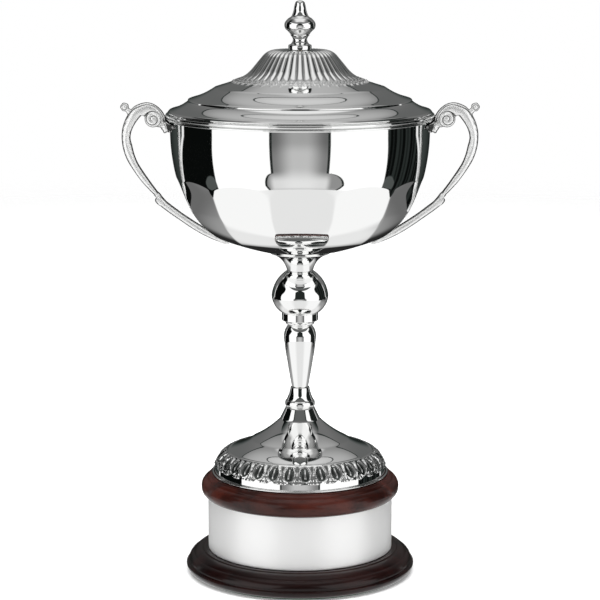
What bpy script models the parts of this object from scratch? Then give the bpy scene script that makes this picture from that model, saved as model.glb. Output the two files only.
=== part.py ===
"""Lidded two-handled presentation cup on a turned wooden plinth with a metal band.

Metres, +Z up, origin at the centre of the underside of the baize. The front faces -Y and the
handles stand out along X. Lengths below are in millimetres and are turned into metres where a
mesh is made. Every turned piece is an outline of (radius, height, bulge) points, where bulge is
how far the arc that reaches the point swells outwards from its chord.
"""

import math

import bmesh
import bpy
from mathutils import Matrix, Vector

# ---------------------------------------------------------------- driving dimensions, in mm
GAP = 0.3                    # left between two pieces that touch
WALL = 1.2                   # spun sheet of the bowl and the lid
FOOT_WALL = 1.6              # spun sheet of the foot

FELT_RADIUS = 84.0
FELT_THICKNESS = 1.5
FELT_HOLE_RADIUS = 15.0

BASE_RADIUS = 90.4           # moulded bottom of the plinth
BASE_HEIGHT = 17.4
BAND_RADIUS = 72.9           # outside of the metal band
BAND_HEIGHT = 42.3
BAND_THICKNESS = 0.6
BAND_SEAM = 0.6              # slit at the back where the band's ends meet
DRUM_BORE_RADIUS = 50.0
CAP_LEDGE = 0.5              # flat top of the rounded moulding that shows past the foot's wire
CAP_OVERHANG = 7.8           # how far that moulding swells out past its flat top
CAP_HEIGHT = 17.2
CAP_SPIGOT_DEPTH = 4.0

FOOT_RADIUS = 67.6
FOOT_HEIGHT = 52.9
FOOT_WIRE_RADIUS = 0.9
PLATE_THICKNESS = 1.6

STEM_CONE_RADIUS = 11.7
STEM_CONE_HEIGHT = 15.3
BALUSTER_RADIUS = 13.4
BALUSTER_HEIGHT = 49.8
COLLAR_RADIUS = 14.6
COLLAR_HEIGHT = 9.5
KNOP_RADIUS = 22.2
KNOP_HEIGHT = 32.6
TRUMPET_RADIUS = 23.5
TRUMPET_HEIGHT = 14.1

BOWL_RADIUS = 100.3
BOWL_HEIGHT = 108.4
PANEL_COUNT = 12             # flattened panels round the lower bowl
PANEL_TOP_SHARE = 0.56       # height of a panel's arched top, as a share of the bowl's height
PANEL_ARCH = 4.5             # how far the arch falls from its middle to its corners
PANEL_FLATNESS = 0.65        # 0 leaves the bowl round, 1 makes each panel a flat
PANEL_EASE = 8.0             # height over which a panel sinks to its full flatness
RIM_OVERHANG = 3.3           # how far the mouth moulding stands out from the bowl
RIM_HEIGHT = 5.0

LID_HEIGHT = 48.0
LID_REACH = 0.3              # how far the lid's edge stays inside the mouth moulding's edge
BEZEL_DEPTH = 12.0           # how far the lid's inner ring drops into the bowl
BEZEL_THICKNESS = 0.8
BEZEL_CLEARANCE = 0.6
FINIAL_RADIUS = 12.4
FINIAL_HEIGHT = 37.4

HANDLE_DEPTH = 4.6           # half the front-to-back size of a handle's arm
VOLUTE_RADIUS = 7.6
VOLUTE_HALF_DEPTH = 4.2
KNOB_RADIUS = 3.3
BOSS_HALF_DEPTH = 4.5
LEAF_ANGLE = 13.0            # half the angle of bowl wall that a handle's leaf pad covers
LEAF_THICKNESS = 1.8
LEAF_HEIGHT = 9.0

ROD_RADIUS = 3.0
ROD_CLEARANCE = 0.4
STUD_RADIUS = 1.9
STUD_LENGTH = 20.0
NUT_HEIGHT = 5.6
NUT_RADIUS = 6.4             # across the corners
WASHER_RADIUS = 12.0
WASHER_THICKNESS = 1.4
SCREW_RADIUS = 1.7
SCREW_HEAD_RADIUS = 3.4
SCREW_HEAD_HEIGHT = 2.4
SCREW_BITE = 14.0            # how far a screw goes into the drum
SCREW_COUNT = 3
PIN_RADIUS = 0.7
PIN_LENGTH = 7.0
PIN_HEAD_RADIUS = 1.7
PIN_OFFSET = 4.5             # pins sit this far to each side of the band's seam

MANY = 36                    # sides of a large round piece
BOWL_SIDES = 4 * PANEL_COUNT # four to each panel, so that a ridge falls on an edge
FEW = 20                     # sides of a small round piece
ARC_STEPS = 2                # straight pieces that an arc is made of
MM = 0.001

# ---------------------------------------------------------------- heights of the stack, in mm
BASE_LOW = FELT_THICKNESS + GAP
BASE_TOP = BASE_LOW + BASE_HEIGHT
BAND_LOW = BASE_TOP + GAP
BAND_TOP = BAND_LOW + BAND_HEIGHT
CAP_LOW = BAND_TOP + GAP
CAP_TOP = CAP_LOW + CAP_HEIGHT
FOOT_LOW = CAP_TOP + GAP
FOOT_TOP = FOOT_LOW + FOOT_HEIGHT
CONE_LOW = FOOT_TOP + GAP
BALUSTER_LOW = CONE_LOW + STEM_CONE_HEIGHT + GAP
COLLAR_LOW = BALUSTER_LOW + BALUSTER_HEIGHT + GAP
KNOP_LOW = COLLAR_LOW + COLLAR_HEIGHT + GAP
TRUMPET_LOW = KNOP_LOW + KNOP_HEIGHT + GAP
BOWL_LOW = TRUMPET_LOW + TRUMPET_HEIGHT + GAP
BOWL_TOP = BOWL_LOW + BOWL_HEIGHT
LID_LOW = BOWL_TOP + GAP
LID_TOP = LID_LOW + LID_HEIGHT
FINIAL_LOW = LID_TOP + GAP
FINIAL_TOP = FINIAL_LOW + FINIAL_HEIGHT
RIM_LOW = BOWL_TOP - RIM_HEIGHT

BORE_RADIUS = ROD_RADIUS + ROD_CLEARANCE
CAP_SEAT_RADIUS = FOOT_RADIUS + GAP + 2 * FOOT_WIRE_RADIUS + CAP_LEDGE
CAP_RADIUS = CAP_SEAT_RADIUS + CAP_OVERHANG
RIM_RADIUS = BOWL_RADIUS + RIM_OVERHANG
LID_RADIUS = RIM_RADIUS - LID_REACH
BEZEL_RADIUS = BOWL_RADIUS - WALL - BEZEL_CLEARANCE
DRUM_RADIUS = BAND_RADIUS - BAND_THICKNESS - GAP
SCREW_CIRCLE = (DRUM_BORE_RADIUS + DRUM_RADIUS) / 2
PLATE_RADIUS = FOOT_RADIUS - FOOT_WALL - GAP
PLINTH_NUT_ROOM = NUT_HEIGHT + WASHER_THICKNESS + 3 * GAP
FOOT_NUT_ROOM = NUT_HEIGHT + 2 * GAP
NUT_POCKET_RADIUS = WASHER_RADIUS + 1.0


# ---------------------------------------------------------------- materials
def finish(name, colour, metallic, roughness):
    """A plain Principled material."""
    material = bpy.data.materials.new(name)
    material.use_nodes = True
    shader = material.node_tree.nodes["Principled BSDF"]
    shader.inputs["Base Color"].default_value = (*colour, 1.0)
    shader.inputs["Metallic"].default_value = metallic
    shader.inputs["Roughness"].default_value = roughness
    material.diffuse_color = (*colour, 1.0)
    return material


def silver(name):
    """Mirror-polished silver plate."""
    return finish(name, (0.93, 0.93, 0.92), 1.0, 0.06)


def cast_silver(name):
    """Cast silver plate with a frosted ground."""
    return finish(name, (0.88, 0.88, 0.87), 1.0, 0.28)


def mahogany(name):
    """Polished dark mahogany."""
    return finish(name, (0.13, 0.03, 0.02), 0.0, 0.18)


def brass(name):
    """Plain brass of the hidden fixings."""
    return finish(name, (0.72, 0.53, 0.25), 1.0, 0.3)


def steel(name):
    """Bright steel of the wood screws."""
    return finish(name, (0.62, 0.62, 0.63), 1.0, 0.35)


def baize(name):
    """Green baize under the plinth."""
    return finish(name, (0.03, 0.12, 0.06), 0.0, 0.95)


# ---------------------------------------------------------------- outlines
def arc(start, end, bulge):
    """Points after start on the arc to end whose middle stands bulge off its chord."""
    chord = math.dist(start, end)
    if abs(bulge) < 1e-6 or chord < 1e-6:
        return [end]
    radius = (chord * chord / 4 + bulge * bulge) / (2 * abs(bulge))
    across = ((end[1] - start[1]) / chord, (start[0] - end[0]) / chord)
    inward = math.copysign(radius - abs(bulge), bulge)
    centre = [(a + b) / 2 - n * inward for a, b, n in zip(start, end, across)]
    first = math.atan2(start[1] - centre[1], start[0] - centre[0])
    last = math.atan2(end[1] - centre[1], end[0] - centre[0])
    turn = (last - first + math.pi) % (2 * math.pi) - math.pi
    angles = [first + turn * step / ARC_STEPS for step in range(1, ARC_STEPS)]
    return [(centre[0] + radius * math.cos(a), centre[1] + radius * math.sin(a)) for a in angles] + [end]


def outline(points):
    """The (radius, height) line through (radius, height[, bulge]) points, read from the bottom up."""
    line = [tuple(points[0][:2])]
    for point in points[1:]:
        line += arc(line[-1], tuple(point[:2]), point[2] if len(point) > 2 else 0.0)
    return line


def sized(points, radius, height, low):
    """An outline drawn from height 0, stretched to its radius and height and set on low."""
    wide = radius / max(point[0] for point in points)
    tall = height / max(point[1] for point in points)
    scaled = [(r * wide, z * tall, *(b * min(wide, tall) for b in bulge)) for r, z, *bulge in points]
    return [(r, z + low) for r, z in outline(scaled)]


def inside(line, wall):
    """The line moved wall towards the axis side, each point along its own normal."""
    moved = []
    for index, (r, z) in enumerate(line):
        before = line[max(index - 1, 0)]
        after = line[min(index + 1, len(line) - 1)]
        run = math.dist(before, after)
        moved.append((r - (after[1] - before[1]) / run * wall, z + (after[0] - before[0]) / run * wall))
    return moved


def bored(line, bore=BORE_RADIUS):
    """A solid turned piece with a straight bore: the outside line closed along the bore."""
    return [(bore, line[0][1]), *line, (bore, line[-1][1])]


# ---------------------------------------------------------------- meshes
def add(name, mesh, material):
    """Puts a bmesh in millimetres into the scene as one smooth-shaded object in metres."""
    bmesh.ops.recalc_face_normals(mesh, faces=mesh.faces)
    bmesh.ops.transform(mesh, matrix=Matrix.Scale(MM, 4), verts=mesh.verts)
    data = bpy.data.meshes.new(name)
    mesh.to_mesh(data)
    mesh.free()
    data.shade_smooth()
    data.set_sharp_from_angle(angle=math.radians(40))
    thing = bpy.data.objects.new(name, data)
    bpy.context.scene.collection.objects.link(thing)
    if material:
        data.materials.append(material)
    return thing


def spun(loop, sides):
    """A bmesh in mm: the closed (radius, height) loop turned once round Z."""
    mesh = bmesh.new()
    points = [mesh.verts.new((max(r, 0.0), 0.0, z)) for r, z in loop]
    edges = [mesh.edges.new((a, b)) for a, b in zip(points, points[1:])]
    if loop[0][0] > 1e-6:
        edges.append(mesh.edges.new((points[-1], points[0])))
    bmesh.ops.spin(mesh, geom=points + edges, cent=(0, 0, 0), axis=(0, 0, 1), angle=2 * math.pi,
                   steps=sides, use_merge=True)
    bmesh.ops.remove_doubles(mesh, verts=mesh.verts, dist=1e-4)
    return mesh


def turned(name, loop, material, sides=MANY, at=(0.0, 0.0)):
    """A turned piece on a vertical axis through at."""
    thing = add(name, spun(loop, sides), material)
    thing.location = (at[0] * MM, at[1] * MM, 0)
    return thing


def helper(thing):
    """Keeps an object out of the model, as a cutter or a piece to be joined."""
    thing.hide_render = True
    thing.display_type = "WIRE"
    return thing


def combine(thing, other, operation):
    """Cuts a helper from a piece or joins it to the piece."""
    boolean = thing.modifiers.new(other.name, "BOOLEAN")
    boolean.operation = operation
    boolean.solver = "EXACT"
    boolean.object = helper(other)


def rod_loop(radius, low, top):
    """The loop of a plain round bar."""
    return [(0, low), (radius, low), (radius, top), (0, top)]


def ring_loop(inner, outer, low, top):
    """The loop of a plain ring."""
    return [(inner, low), (outer, low), (outer, top), (inner, top)]


def around(count, radius, start):
    """Places evenly spaced on a circle, from the start angle in degrees."""
    angles = [math.radians(start + 360 * index / count) for index in range(count)]
    return [(radius * math.cos(a), radius * math.sin(a)) for a in angles]


def nut(name, low, height, radius, hole, material):
    """A hexagon nut with chamfered corners round a plain hole."""
    chamfer = radius * 0.1
    loop = [(0, low), (radius - chamfer, low), (radius, low + chamfer), (radius, low + height - chamfer),
            (radius - chamfer, low + height), (0, low + height)]
    body = turned(name, loop, material, 6)
    combine(body, turned(name + "_hole", rod_loop(hole, low - 1, low + height + 1), None, FEW), "DIFFERENCE")
    return body


# ---------------------------------------------------------------- plinth
def stepped_hole(name, at, low, top, head_from, head_to, material=None):
    """A cutter for a screw: a shank hole from low to top and a wider hole for its head."""
    shank = SCREW_RADIUS + GAP
    head = SCREW_HEAD_RADIUS + GAP
    if head_from < low:
        loop = [(0, head_from), (head, head_from), (head, head_to), (shank, head_to), (shank, top), (0, top)]
    else:
        loop = [(0, low), (shank, low), (shank, head_from), (head, head_from), (head, head_to), (0, head_to)]
    return turned(name, loop, material, FEW, at)


def screw(name, at, head_low, tip, material):
    """A countersunk wood screw whose tip is above or below its head."""
    down = tip < head_low
    face = head_low + SCREW_HEAD_HEIGHT if down else head_low
    neck = head_low if down else head_low + SCREW_HEAD_HEIGHT
    taper = -1 if down else 1
    loop = [(0, face), (SCREW_HEAD_RADIUS, face), (SCREW_HEAD_RADIUS, face + taper * 0.6), (SCREW_RADIUS, neck),
            (SCREW_RADIUS, tip - taper * 4), (0, tip)]
    return turned(name, loop, material, FEW, at)


def plinth():
    """Baize, moulded base, drum, band with its pins, cap moulding and the screws between them."""
    turned("base_felt", ring_loop(FELT_HOLE_RADIUS, FELT_RADIUS, 0, FELT_THICKNESS), baize("baize"))

    base_line = sized([(86.4, 0), (90.4, 3.2, 1.0), (90.4, 5.6), (88.0, 6.4, 0.3), (84.4, 13.1, 1.2),
                       (76.0, 17.4, 0.7)], BASE_RADIUS, BASE_HEIGHT, BASE_LOW)
    nut_ceiling = BASE_LOW + 2 * GAP + PLINTH_NUT_ROOM
    base = turned("plinth_base", [(NUT_POCKET_RADIUS, BASE_LOW), *base_line, (BORE_RADIUS, BASE_TOP),
                                  (BORE_RADIUS, nut_ceiling), (NUT_POCKET_RADIUS, nut_ceiling)],
                  mahogany("base_wood"))
    drum = turned("plinth_drum", ring_loop(DRUM_BORE_RADIUS, DRUM_RADIUS, BAND_LOW, BAND_TOP),
                  mahogany("drum_wood"))

    cap_line = sized([(CAP_RADIUS - 2.8, 0), (CAP_RADIUS, 6.0, 0.8), (CAP_RADIUS - 4.2, 14.0, 1.6),
                      (CAP_SEAT_RADIUS + 0.8, 16.7, 0.3), (CAP_SEAT_RADIUS, 17.2)],
                     CAP_RADIUS, CAP_HEIGHT, CAP_LOW)
    spigot = DRUM_BORE_RADIUS - GAP
    spigot_low = CAP_LOW - CAP_SPIGOT_DEPTH
    pocket_floor = CAP_TOP - FOOT_NUT_ROOM
    cap = turned("plinth_cap", [(BORE_RADIUS, spigot_low), (spigot, spigot_low), (spigot, CAP_LOW), *cap_line,
                                (NUT_POCKET_RADIUS, CAP_TOP), (NUT_POCKET_RADIUS, pocket_floor),
                                (BORE_RADIUS, pocket_floor)], mahogany("cap_wood"))

    head_room = SCREW_HEAD_HEIGHT + 2 * GAP
    low_head = BASE_LOW + BASE_HEIGHT / 3
    high_head = CAP_TOP - CAP_HEIGHT / 3
    low_tip = BAND_LOW + SCREW_BITE
    high_tip = BAND_TOP - SCREW_BITE
    for index, at in enumerate(around(SCREW_COUNT, SCREW_CIRCLE, 30), 1):
        hole = stepped_hole(f"base_hole_{index}", at, low_head, low_tip + GAP, BASE_LOW - 1, low_head + head_room)
        combine(base, hole, "DIFFERENCE")
        combine(drum, hole, "DIFFERENCE")
        screw(f"base_screw_{index}", at, low_head + GAP, low_tip, steel(f"base_screw_steel_{index}"))
    for index, at in enumerate(around(SCREW_COUNT, SCREW_CIRCLE, 90), 1):
        hole = stepped_hole(f"cap_hole_{index}", at, high_tip - GAP, CAP_TOP, high_head, CAP_TOP + 1)
        combine(cap, hole, "DIFFERENCE")
        combine(drum, hole, "DIFFERENCE")
        screw(f"cap_screw_{index}", at, high_head + GAP, high_tip, steel(f"cap_screw_steel_{index}"))

    band = turned("plinth_band", ring_loop(BAND_RADIUS - BAND_THICKNESS, BAND_RADIUS, BAND_LOW, BAND_TOP),
                  silver("band_silver"))
    combine(band, box("band_seam", (-BAND_SEAM / 2, BAND_RADIUS - 4, BAND_LOW - 1),
                      (BAND_SEAM / 2, BAND_RADIUS + 4, BAND_TOP + 1)), "DIFFERENCE")
    for side, label in ((-1, "left"), (1, "right")):
        band_pin(f"band_pin_{label}", side * PIN_OFFSET, band, drum)


def box(name, low, high):
    """A plain box between two corners, in mm."""
    mesh = bmesh.new()
    bmesh.ops.create_cube(mesh, size=1.0)
    low, high = Vector(low), Vector(high)
    for vertex in mesh.verts:
        vertex.co = [low[i] + (vertex.co[i] + 0.5) * (high[i] - low[i]) for i in range(3)]
    return add(name, mesh, None)


def band_pin(name, across, band, drum):
    """A round-headed pin that holds the band to the drum, driven in along -Y from the back."""
    bow = math.sqrt(BAND_RADIUS ** 2 - (abs(across) - PIN_HEAD_RADIUS) ** 2)
    seat = bow + GAP
    height = (BAND_LOW + BAND_TOP) / 2
    place = Matrix.Translation((across, 0, height)) @ Matrix.Rotation(-math.pi / 2, 4, "X")
    hole = spun(rod_loop(PIN_RADIUS + GAP, seat - PIN_LENGTH - 1, seat + 1), FEW // 2)
    pin = spun([(0, seat - PIN_LENGTH), (PIN_RADIUS, seat - PIN_LENGTH + 1), (PIN_RADIUS, seat),
                (PIN_HEAD_RADIUS, seat), *arc((PIN_HEAD_RADIUS, seat), (0, seat + 0.9), 0.25)], FEW // 2)
    for mesh in (hole, pin):
        bmesh.ops.transform(mesh, matrix=place, verts=mesh.verts)
    cutter = add(name + "_hole", hole, None)
    combine(band, cutter, "DIFFERENCE")
    combine(drum, cutter, "DIFFERENCE")
    add(name, pin, silver(name + "_silver"))


# ---------------------------------------------------------------- foot and stem
def foot():
    """Hollow spun foot, the wire round its lower edge and the plate that closes it."""
    line = sized([(67.6, 0), (67.6, 6.9), (56.1, 18.5, 1.6), (38.3, 27.0, -0.8), (15.8, 43.2, -1.1),
                  (11.1, 52.9)], FOOT_RADIUS, FOOT_HEIGHT, FOOT_LOW)
    hollow = [point for point in inside(line[:-1], FOOT_WALL) if point[0] > 2 * BORE_RADIUS]
    ceiling = hollow[-1][1]
    hollow[0] = (hollow[0][0], FOOT_LOW)
    loop = [*line, (BORE_RADIUS, FOOT_TOP), (BORE_RADIUS, ceiling), *reversed(hollow)]
    turned("foot_shell", loop, silver("foot_silver"))
    wire = FOOT_WIRE_RADIUS
    centre = FOOT_RADIUS + GAP + wire
    wire_low = FOOT_LOW + wire
    circle = [(centre + wire * math.cos(math.tau * k / 6), wire_low + wire * math.sin(math.tau * k / 6))
              for k in range(6)]
    turned("foot_wire", circle, silver("foot_wire_silver"))
    turned("foot_plate", ring_loop(BORE_RADIUS, PLATE_RADIUS, FOOT_LOW, FOOT_LOW + PLATE_THICKNESS),
           brass("plate_brass"))


def stem():
    """The turned pieces threaded on the tie rod between the foot and the bowl."""
    cone = sized([(11.1, 0), (11.7, 4.2, 0.2), (7.6, 13.8, -0.3), (7.4, 15.3)],
                 STEM_CONE_RADIUS, STEM_CONE_HEIGHT, CONE_LOW)
    baluster = sized([(7.4, 0), (13.4, 35.1, 0.8), (12.2, 43.1, 0.5), (9.8, 49.8)],
                     BALUSTER_RADIUS, BALUSTER_HEIGHT, BALUSTER_LOW)
    collar = sized([(10.4, 0), (13.6, 3.2, -0.4), (14.1, 5.0, 0.3), (14.6, 9.5)],
                   COLLAR_RADIUS, COLLAR_HEIGHT, COLLAR_LOW)
    knop = sized([(14.9, 0), (22.2, 13.2, 1.7), (10.5, 32.6, 2.6)], KNOP_RADIUS, KNOP_HEIGHT, KNOP_LOW)
    trumpet = sized([(10.2, 0), (22.9, 13.5, -2.7), (23.5, 14.1)],
                    TRUMPET_RADIUS, TRUMPET_HEIGHT, TRUMPET_LOW)
    pieces = (("stem_cone", cone), ("stem_baluster", baluster), ("stem_collar", collar),
              ("stem_knop", knop), ("stem_trumpet", trumpet))
    for name, line in pieces:
        turned(name, bored(line), silver(name + "_silver"), FEW)


# ---------------------------------------------------------------- bowl
def bowl_line():
    """The bowl's outside from the edge of its bottom to its mouth."""
    return sized([(22.0, 0.4), (64.0, 12.5, 1.3), (86.5, 35.0, 2.2), (96.7, 63.0, 0.9), (100.3, 96.0, 0.9),
                  (100.3, 108.4)], BOWL_RADIUS, BOWL_HEIGHT, BOWL_LOW)


def flatten_panels(mesh):
    """Sinks the middle of each panel of the lower bowl, with its ridges left on the round form."""
    half = math.pi / PANEL_COUNT
    for vertex in mesh.verts:
        radius = math.hypot(vertex.co.x, vertex.co.y)
        angle = math.atan2(vertex.co.y, vertex.co.x)
        off = (angle + half) % (2 * half) - half
        top = BOWL_LOW + PANEL_TOP_SHARE * BOWL_HEIGHT - PANEL_ARCH * (off / half) ** 2
        depth = max(0.0, top - vertex.co.z)
        sunk = PANEL_FLATNESS * (1 - math.cos(half) / math.cos(off)) * (1 - math.exp(-depth / PANEL_EASE))
        if radius > TRUMPET_RADIUS + GAP:
            vertex.co.x *= 1 - sunk
            vertex.co.y *= 1 - sunk


def bowl():
    """Panelled bowl, the moulding round its mouth, and the washer and nut in its bottom."""
    line = bowl_line()
    hollow = inside(line, WALL)
    hollow[-1] = (hollow[-1][0], BOWL_TOP)
    floor = BOWL_LOW + WALL
    hollow[0] = (hollow[0][0], max(floor, hollow[0][1]))
    loop = [(BORE_RADIUS, BOWL_LOW), *line, *reversed(hollow), (BORE_RADIUS, floor)]
    mesh = spun(loop, BOWL_SIDES)
    flatten_panels(mesh)
    add("bowl_shell", mesh, silver("bowl_silver"))

    rim = sized([(102.2, 0), (103.3, 1.2, 0.3), (102.6, 2.4, 0.2), (103.6, 3.8, 0.3), (103.0, 5.0, 0.2)],
                RIM_RADIUS, RIM_HEIGHT, RIM_LOW)
    inner = BOWL_RADIUS + GAP
    turned("bowl_rim", [(inner, RIM_LOW), *rim, (inner, BOWL_TOP)], silver("rim_silver"), BOWL_SIDES)

    washer_low = floor + GAP
    nut_low = washer_low + WASHER_THICKNESS + GAP
    turned("bowl_washer", ring_loop(BORE_RADIUS, WASHER_RADIUS, washer_low, washer_low + WASHER_THICKNESS),
           silver("bowl_washer_silver"), FEW)
    dome_top = nut_low + NUT_HEIGHT + NUT_RADIUS
    dome = [(NUT_RADIUS + 1, nut_low), (NUT_RADIUS + 1, nut_low + 1.2), (NUT_RADIUS, nut_low + 2)]
    dome += arc(dome[-1], (0, dome_top), NUT_RADIUS * 0.36)
    hole_top = nut_low + NUT_HEIGHT + 1
    turned("bowl_nut", [(0, hole_top), (BORE_RADIUS, hole_top), (BORE_RADIUS, nut_low), *dome],
           silver("bowl_nut_silver"), FEW)
    return hole_top


# ---------------------------------------------------------------- handles
def clear_of_bowl(point, half, line):
    """The point, moved straight away from the bowl's outside until half plus a gap fits between."""
    nearest = min(distance_to(point, a, b) for a, b in zip(line, line[1:]))
    need = half + GAP - nearest[0]
    if need <= 0:
        return point
    away = Vector(point) - Vector(nearest[1])
    return tuple(Vector(point) + away.normalized() * need)


def distance_to(point, start, end):
    """(distance, nearest point) from a point to a straight piece."""
    along = Vector(end) - Vector(start)
    share = max(0.0, min(1.0, (Vector(point) - Vector(start)).dot(along) / along.length_squared))
    near = Vector(start) + along * share
    return (Vector(point) - near).length, tuple(near)


def handle_form():
    """The arm's centre line as (x, z, half width) from its top to its tip, for the right handle."""
    drawn = [(116.0, 367.0, 4.4), (123.0, 366.2, 5.2), (128.6, 361.6, 5.0), (132.0, 355.2, 4.2), (134.0, 347.0, 3.6),
             (133.4, 338.0, 4.0), (131.2, 329.6, 3.6), (126.6, 320.0, 3.4), (118.2, 308.0, 3.1),
             (109.4, 298.0, 2.9), (98.4, 288.2, 3.0), (86.2, 278.6, 3.0), (74.4, 270.8, 2.6),
             (63.6, 265.2, 2.0), (55.4, 262.0, 1.0)]
    wide = BOWL_RADIUS / 100.3
    tall = BOWL_HEIGHT / 108.4
    line = bowl_line()
    form = []
    for x, z, half in drawn:
        place = (x * wide, BOWL_LOW + (z - 255.6) * tall)
        form.append((*clear_of_bowl(place, half, line), half))
    return form


def swept(form, depth, sides=8):
    """A bmesh in mm: rounded sections of half width and half depth along a line in the XZ plane."""
    mesh = bmesh.new()
    rings = []
    last = len(form) - 1
    for index, (x, z, half) in enumerate(form):
        before = Vector(form[max(index - 1, 0)][:2])
        after = Vector(form[min(index + 1, last)][:2])
        way = (after - before).normalized()
        deep = depth * min(1.0, half / 3.0)
        turns = [math.tau * (k + 0.5) / sides for k in range(sides)]
        rings.append([mesh.verts.new((x + way.y * half * math.cos(t) * 1.06, deep * math.sin(t) * 1.06,
                                      z - way.x * half * math.cos(t) * 1.06)) for t in turns])
    for ring, after in zip(rings, rings[1:]):
        for k in range(sides):
            mesh.faces.new((ring[k], ring[(k + 1) % sides], after[(k + 1) % sides], after[k]))
    mesh.faces.new(rings[0])
    mesh.faces.new(rings[-1])
    return mesh


def facing(loop, sides, x, z):
    """A bmesh in mm: a loop turned round an axis along Y through (x, z)."""
    mesh = spun(loop, sides)
    place = Matrix.Translation((x, 0, z)) @ Matrix.Rotation(math.pi / 2, 4, "X")
    bmesh.ops.transform(mesh, matrix=place, verts=mesh.verts)
    return mesh


def leaf_pad():
    """A bmesh in mm: the pad that hugs the bowl's wall under the mouth moulding, round +X."""
    mesh = spun(ring_loop(BOWL_RADIUS + GAP, BOWL_RADIUS + GAP + LEAF_THICKNESS,
                          RIM_LOW - GAP - LEAF_HEIGHT, RIM_LOW - GAP), 3 * BOWL_SIDES)
    limit = math.radians(LEAF_ANGLE)
    outside = [v for v in mesh.verts if abs(math.atan2(v.co.y, v.co.x)) > limit + 1e-4]
    bmesh.ops.delete(mesh, geom=outside, context="VERTS")
    bmesh.ops.holes_fill(mesh, edges=mesh.edges, sides=8)
    return mesh


def handle(side, label):
    """One cast handle: swept arm, volute, knob, and the boss and leaf pad that meet the bowl."""
    shift_x = BOWL_RADIUS - 100.3
    form = handle_form()
    top = RIM_LOW - 359.0
    volute_x, volute_z = 113.4 + shift_x, 359.2 + top
    arm = swept(form, HANDLE_DEPTH)
    edge = VOLUTE_RADIUS * 0.12
    half = VOLUTE_HALF_DEPTH
    disc = facing([(0, -half), (VOLUTE_RADIUS - edge, -half), (VOLUTE_RADIUS, edge - half),
                   (VOLUTE_RADIUS, half - edge), (VOLUTE_RADIUS - edge, half), (0, half)], FEW, volute_x, volute_z)
    ball = spun([(KNOB_RADIUS * math.cos(a), KNOB_RADIUS * math.sin(a)) for a in
                 (math.radians(-90 + 30 * step) for step in range(7))], FEW // 2)
    bud_x, bud_z = form[2][0] + 6.6, form[2][1] + 6.9
    bmesh.ops.transform(ball, matrix=Matrix.Translation((bud_x, 0, bud_z)), verts=ball.verts)
    neck = swept([(form[2][0], form[2][1], 3.2), (bud_x, bud_z, 2.2)], 3.2)
    boss_low = RIM_LOW - GAP - 8.6
    boss_in = BOWL_RADIUS + GAP + LEAF_THICKNESS / 2
    boss = box(f"handle_{label}_boss", (boss_in, -BOSS_HALF_DEPTH, boss_low),
               (volute_x - 3, BOSS_HALF_DEPTH, RIM_LOW - GAP))
    body = add(f"handle_{label}", arm, cast_silver(f"handle_{label}_silver"))
    joined = [add(f"handle_{label}_volute", disc, None), add(f"handle_{label}_knob", ball, None),
              add(f"handle_{label}_neck", neck, None), boss, add(f"handle_{label}_pad", leaf_pad(), None)]
    for piece in joined:
        combine(body, piece, "UNION")
    if side < 0:
        for piece in [body, *joined]:
            piece.rotation_euler = (0, 0, math.pi)


# ---------------------------------------------------------------- lid
def lid():
    """Spun lid, the ring that locates it in the mouth, and the finial with its stud and nut."""
    line = sized([(103.3, 0), (103.3, 1.3, 0.1), (101.6, 2.0, 0.3), (86.6, 10.0, -0.9), (66.0, 19.6, -1.0),
                  (50.0, 24.7), (36.0, 34.1, -1.3), (28.0, 43.8), (20.0, 48.0, 0.8)],
                 LID_RADIUS, LID_HEIGHT, LID_LOW)
    hollow = inside(line[ARC_STEPS:], WALL)
    hollow = [(r, max(z, LID_LOW)) for r, z in hollow]
    hollow[0] = (BEZEL_RADIUS + GAP, LID_LOW)
    hole = STUD_RADIUS + GAP
    ceiling = LID_TOP - WALL
    hollow[-1] = (hollow[-1][0], ceiling)
    loop = [*line, (hole, LID_TOP), (hole, ceiling), *reversed(hollow)]
    turned("lid_shell", loop, silver("lid_silver"))

    bezel_top = LID_LOW + 0.9
    turned("lid_bezel", ring_loop(BEZEL_RADIUS - BEZEL_THICKNESS, BEZEL_RADIUS, LID_LOW - BEZEL_DEPTH, bezel_top),
           silver("bezel_silver"))

    finial_line = sized([(11.3, 0), (11.3, 1.0, 0.3), (6.6, 6.9, -0.7), (9.7, 11.4, -0.4), (12.4, 17.2, 0.6),
                         (8.3, 23.7, 1.0), (5.9, 28.9, -0.6), (4.9, 34.6), (2.4, 37.4, 0.6)],
                        FINIAL_RADIUS, FINIAL_HEIGHT, FINIAL_LOW)
    socket_top = FINIAL_LOW + STUD_LENGTH / 2
    turned("finial", [(0, socket_top), (hole, socket_top), (hole, FINIAL_LOW), *finial_line, (0, FINIAL_TOP)],
           silver("finial_silver"), FEW)
    washer_top = ceiling - GAP
    washer_low = washer_top - WASHER_THICKNESS
    turned("finial_washer", ring_loop(hole, WASHER_RADIUS * 0.6, washer_low, washer_top),
           brass("finial_washer_brass"), FEW)
    nut_height = NUT_HEIGHT * 0.7
    nut("finial_nut", washer_low - GAP - nut_height, nut_height, NUT_RADIUS * 0.7, hole, brass("finial_nut_brass"))
    stud_top = socket_top - GAP
    turned("finial_stud", rod_loop(STUD_RADIUS, stud_top - STUD_LENGTH, stud_top), brass("stud_brass"), FEW)


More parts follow.
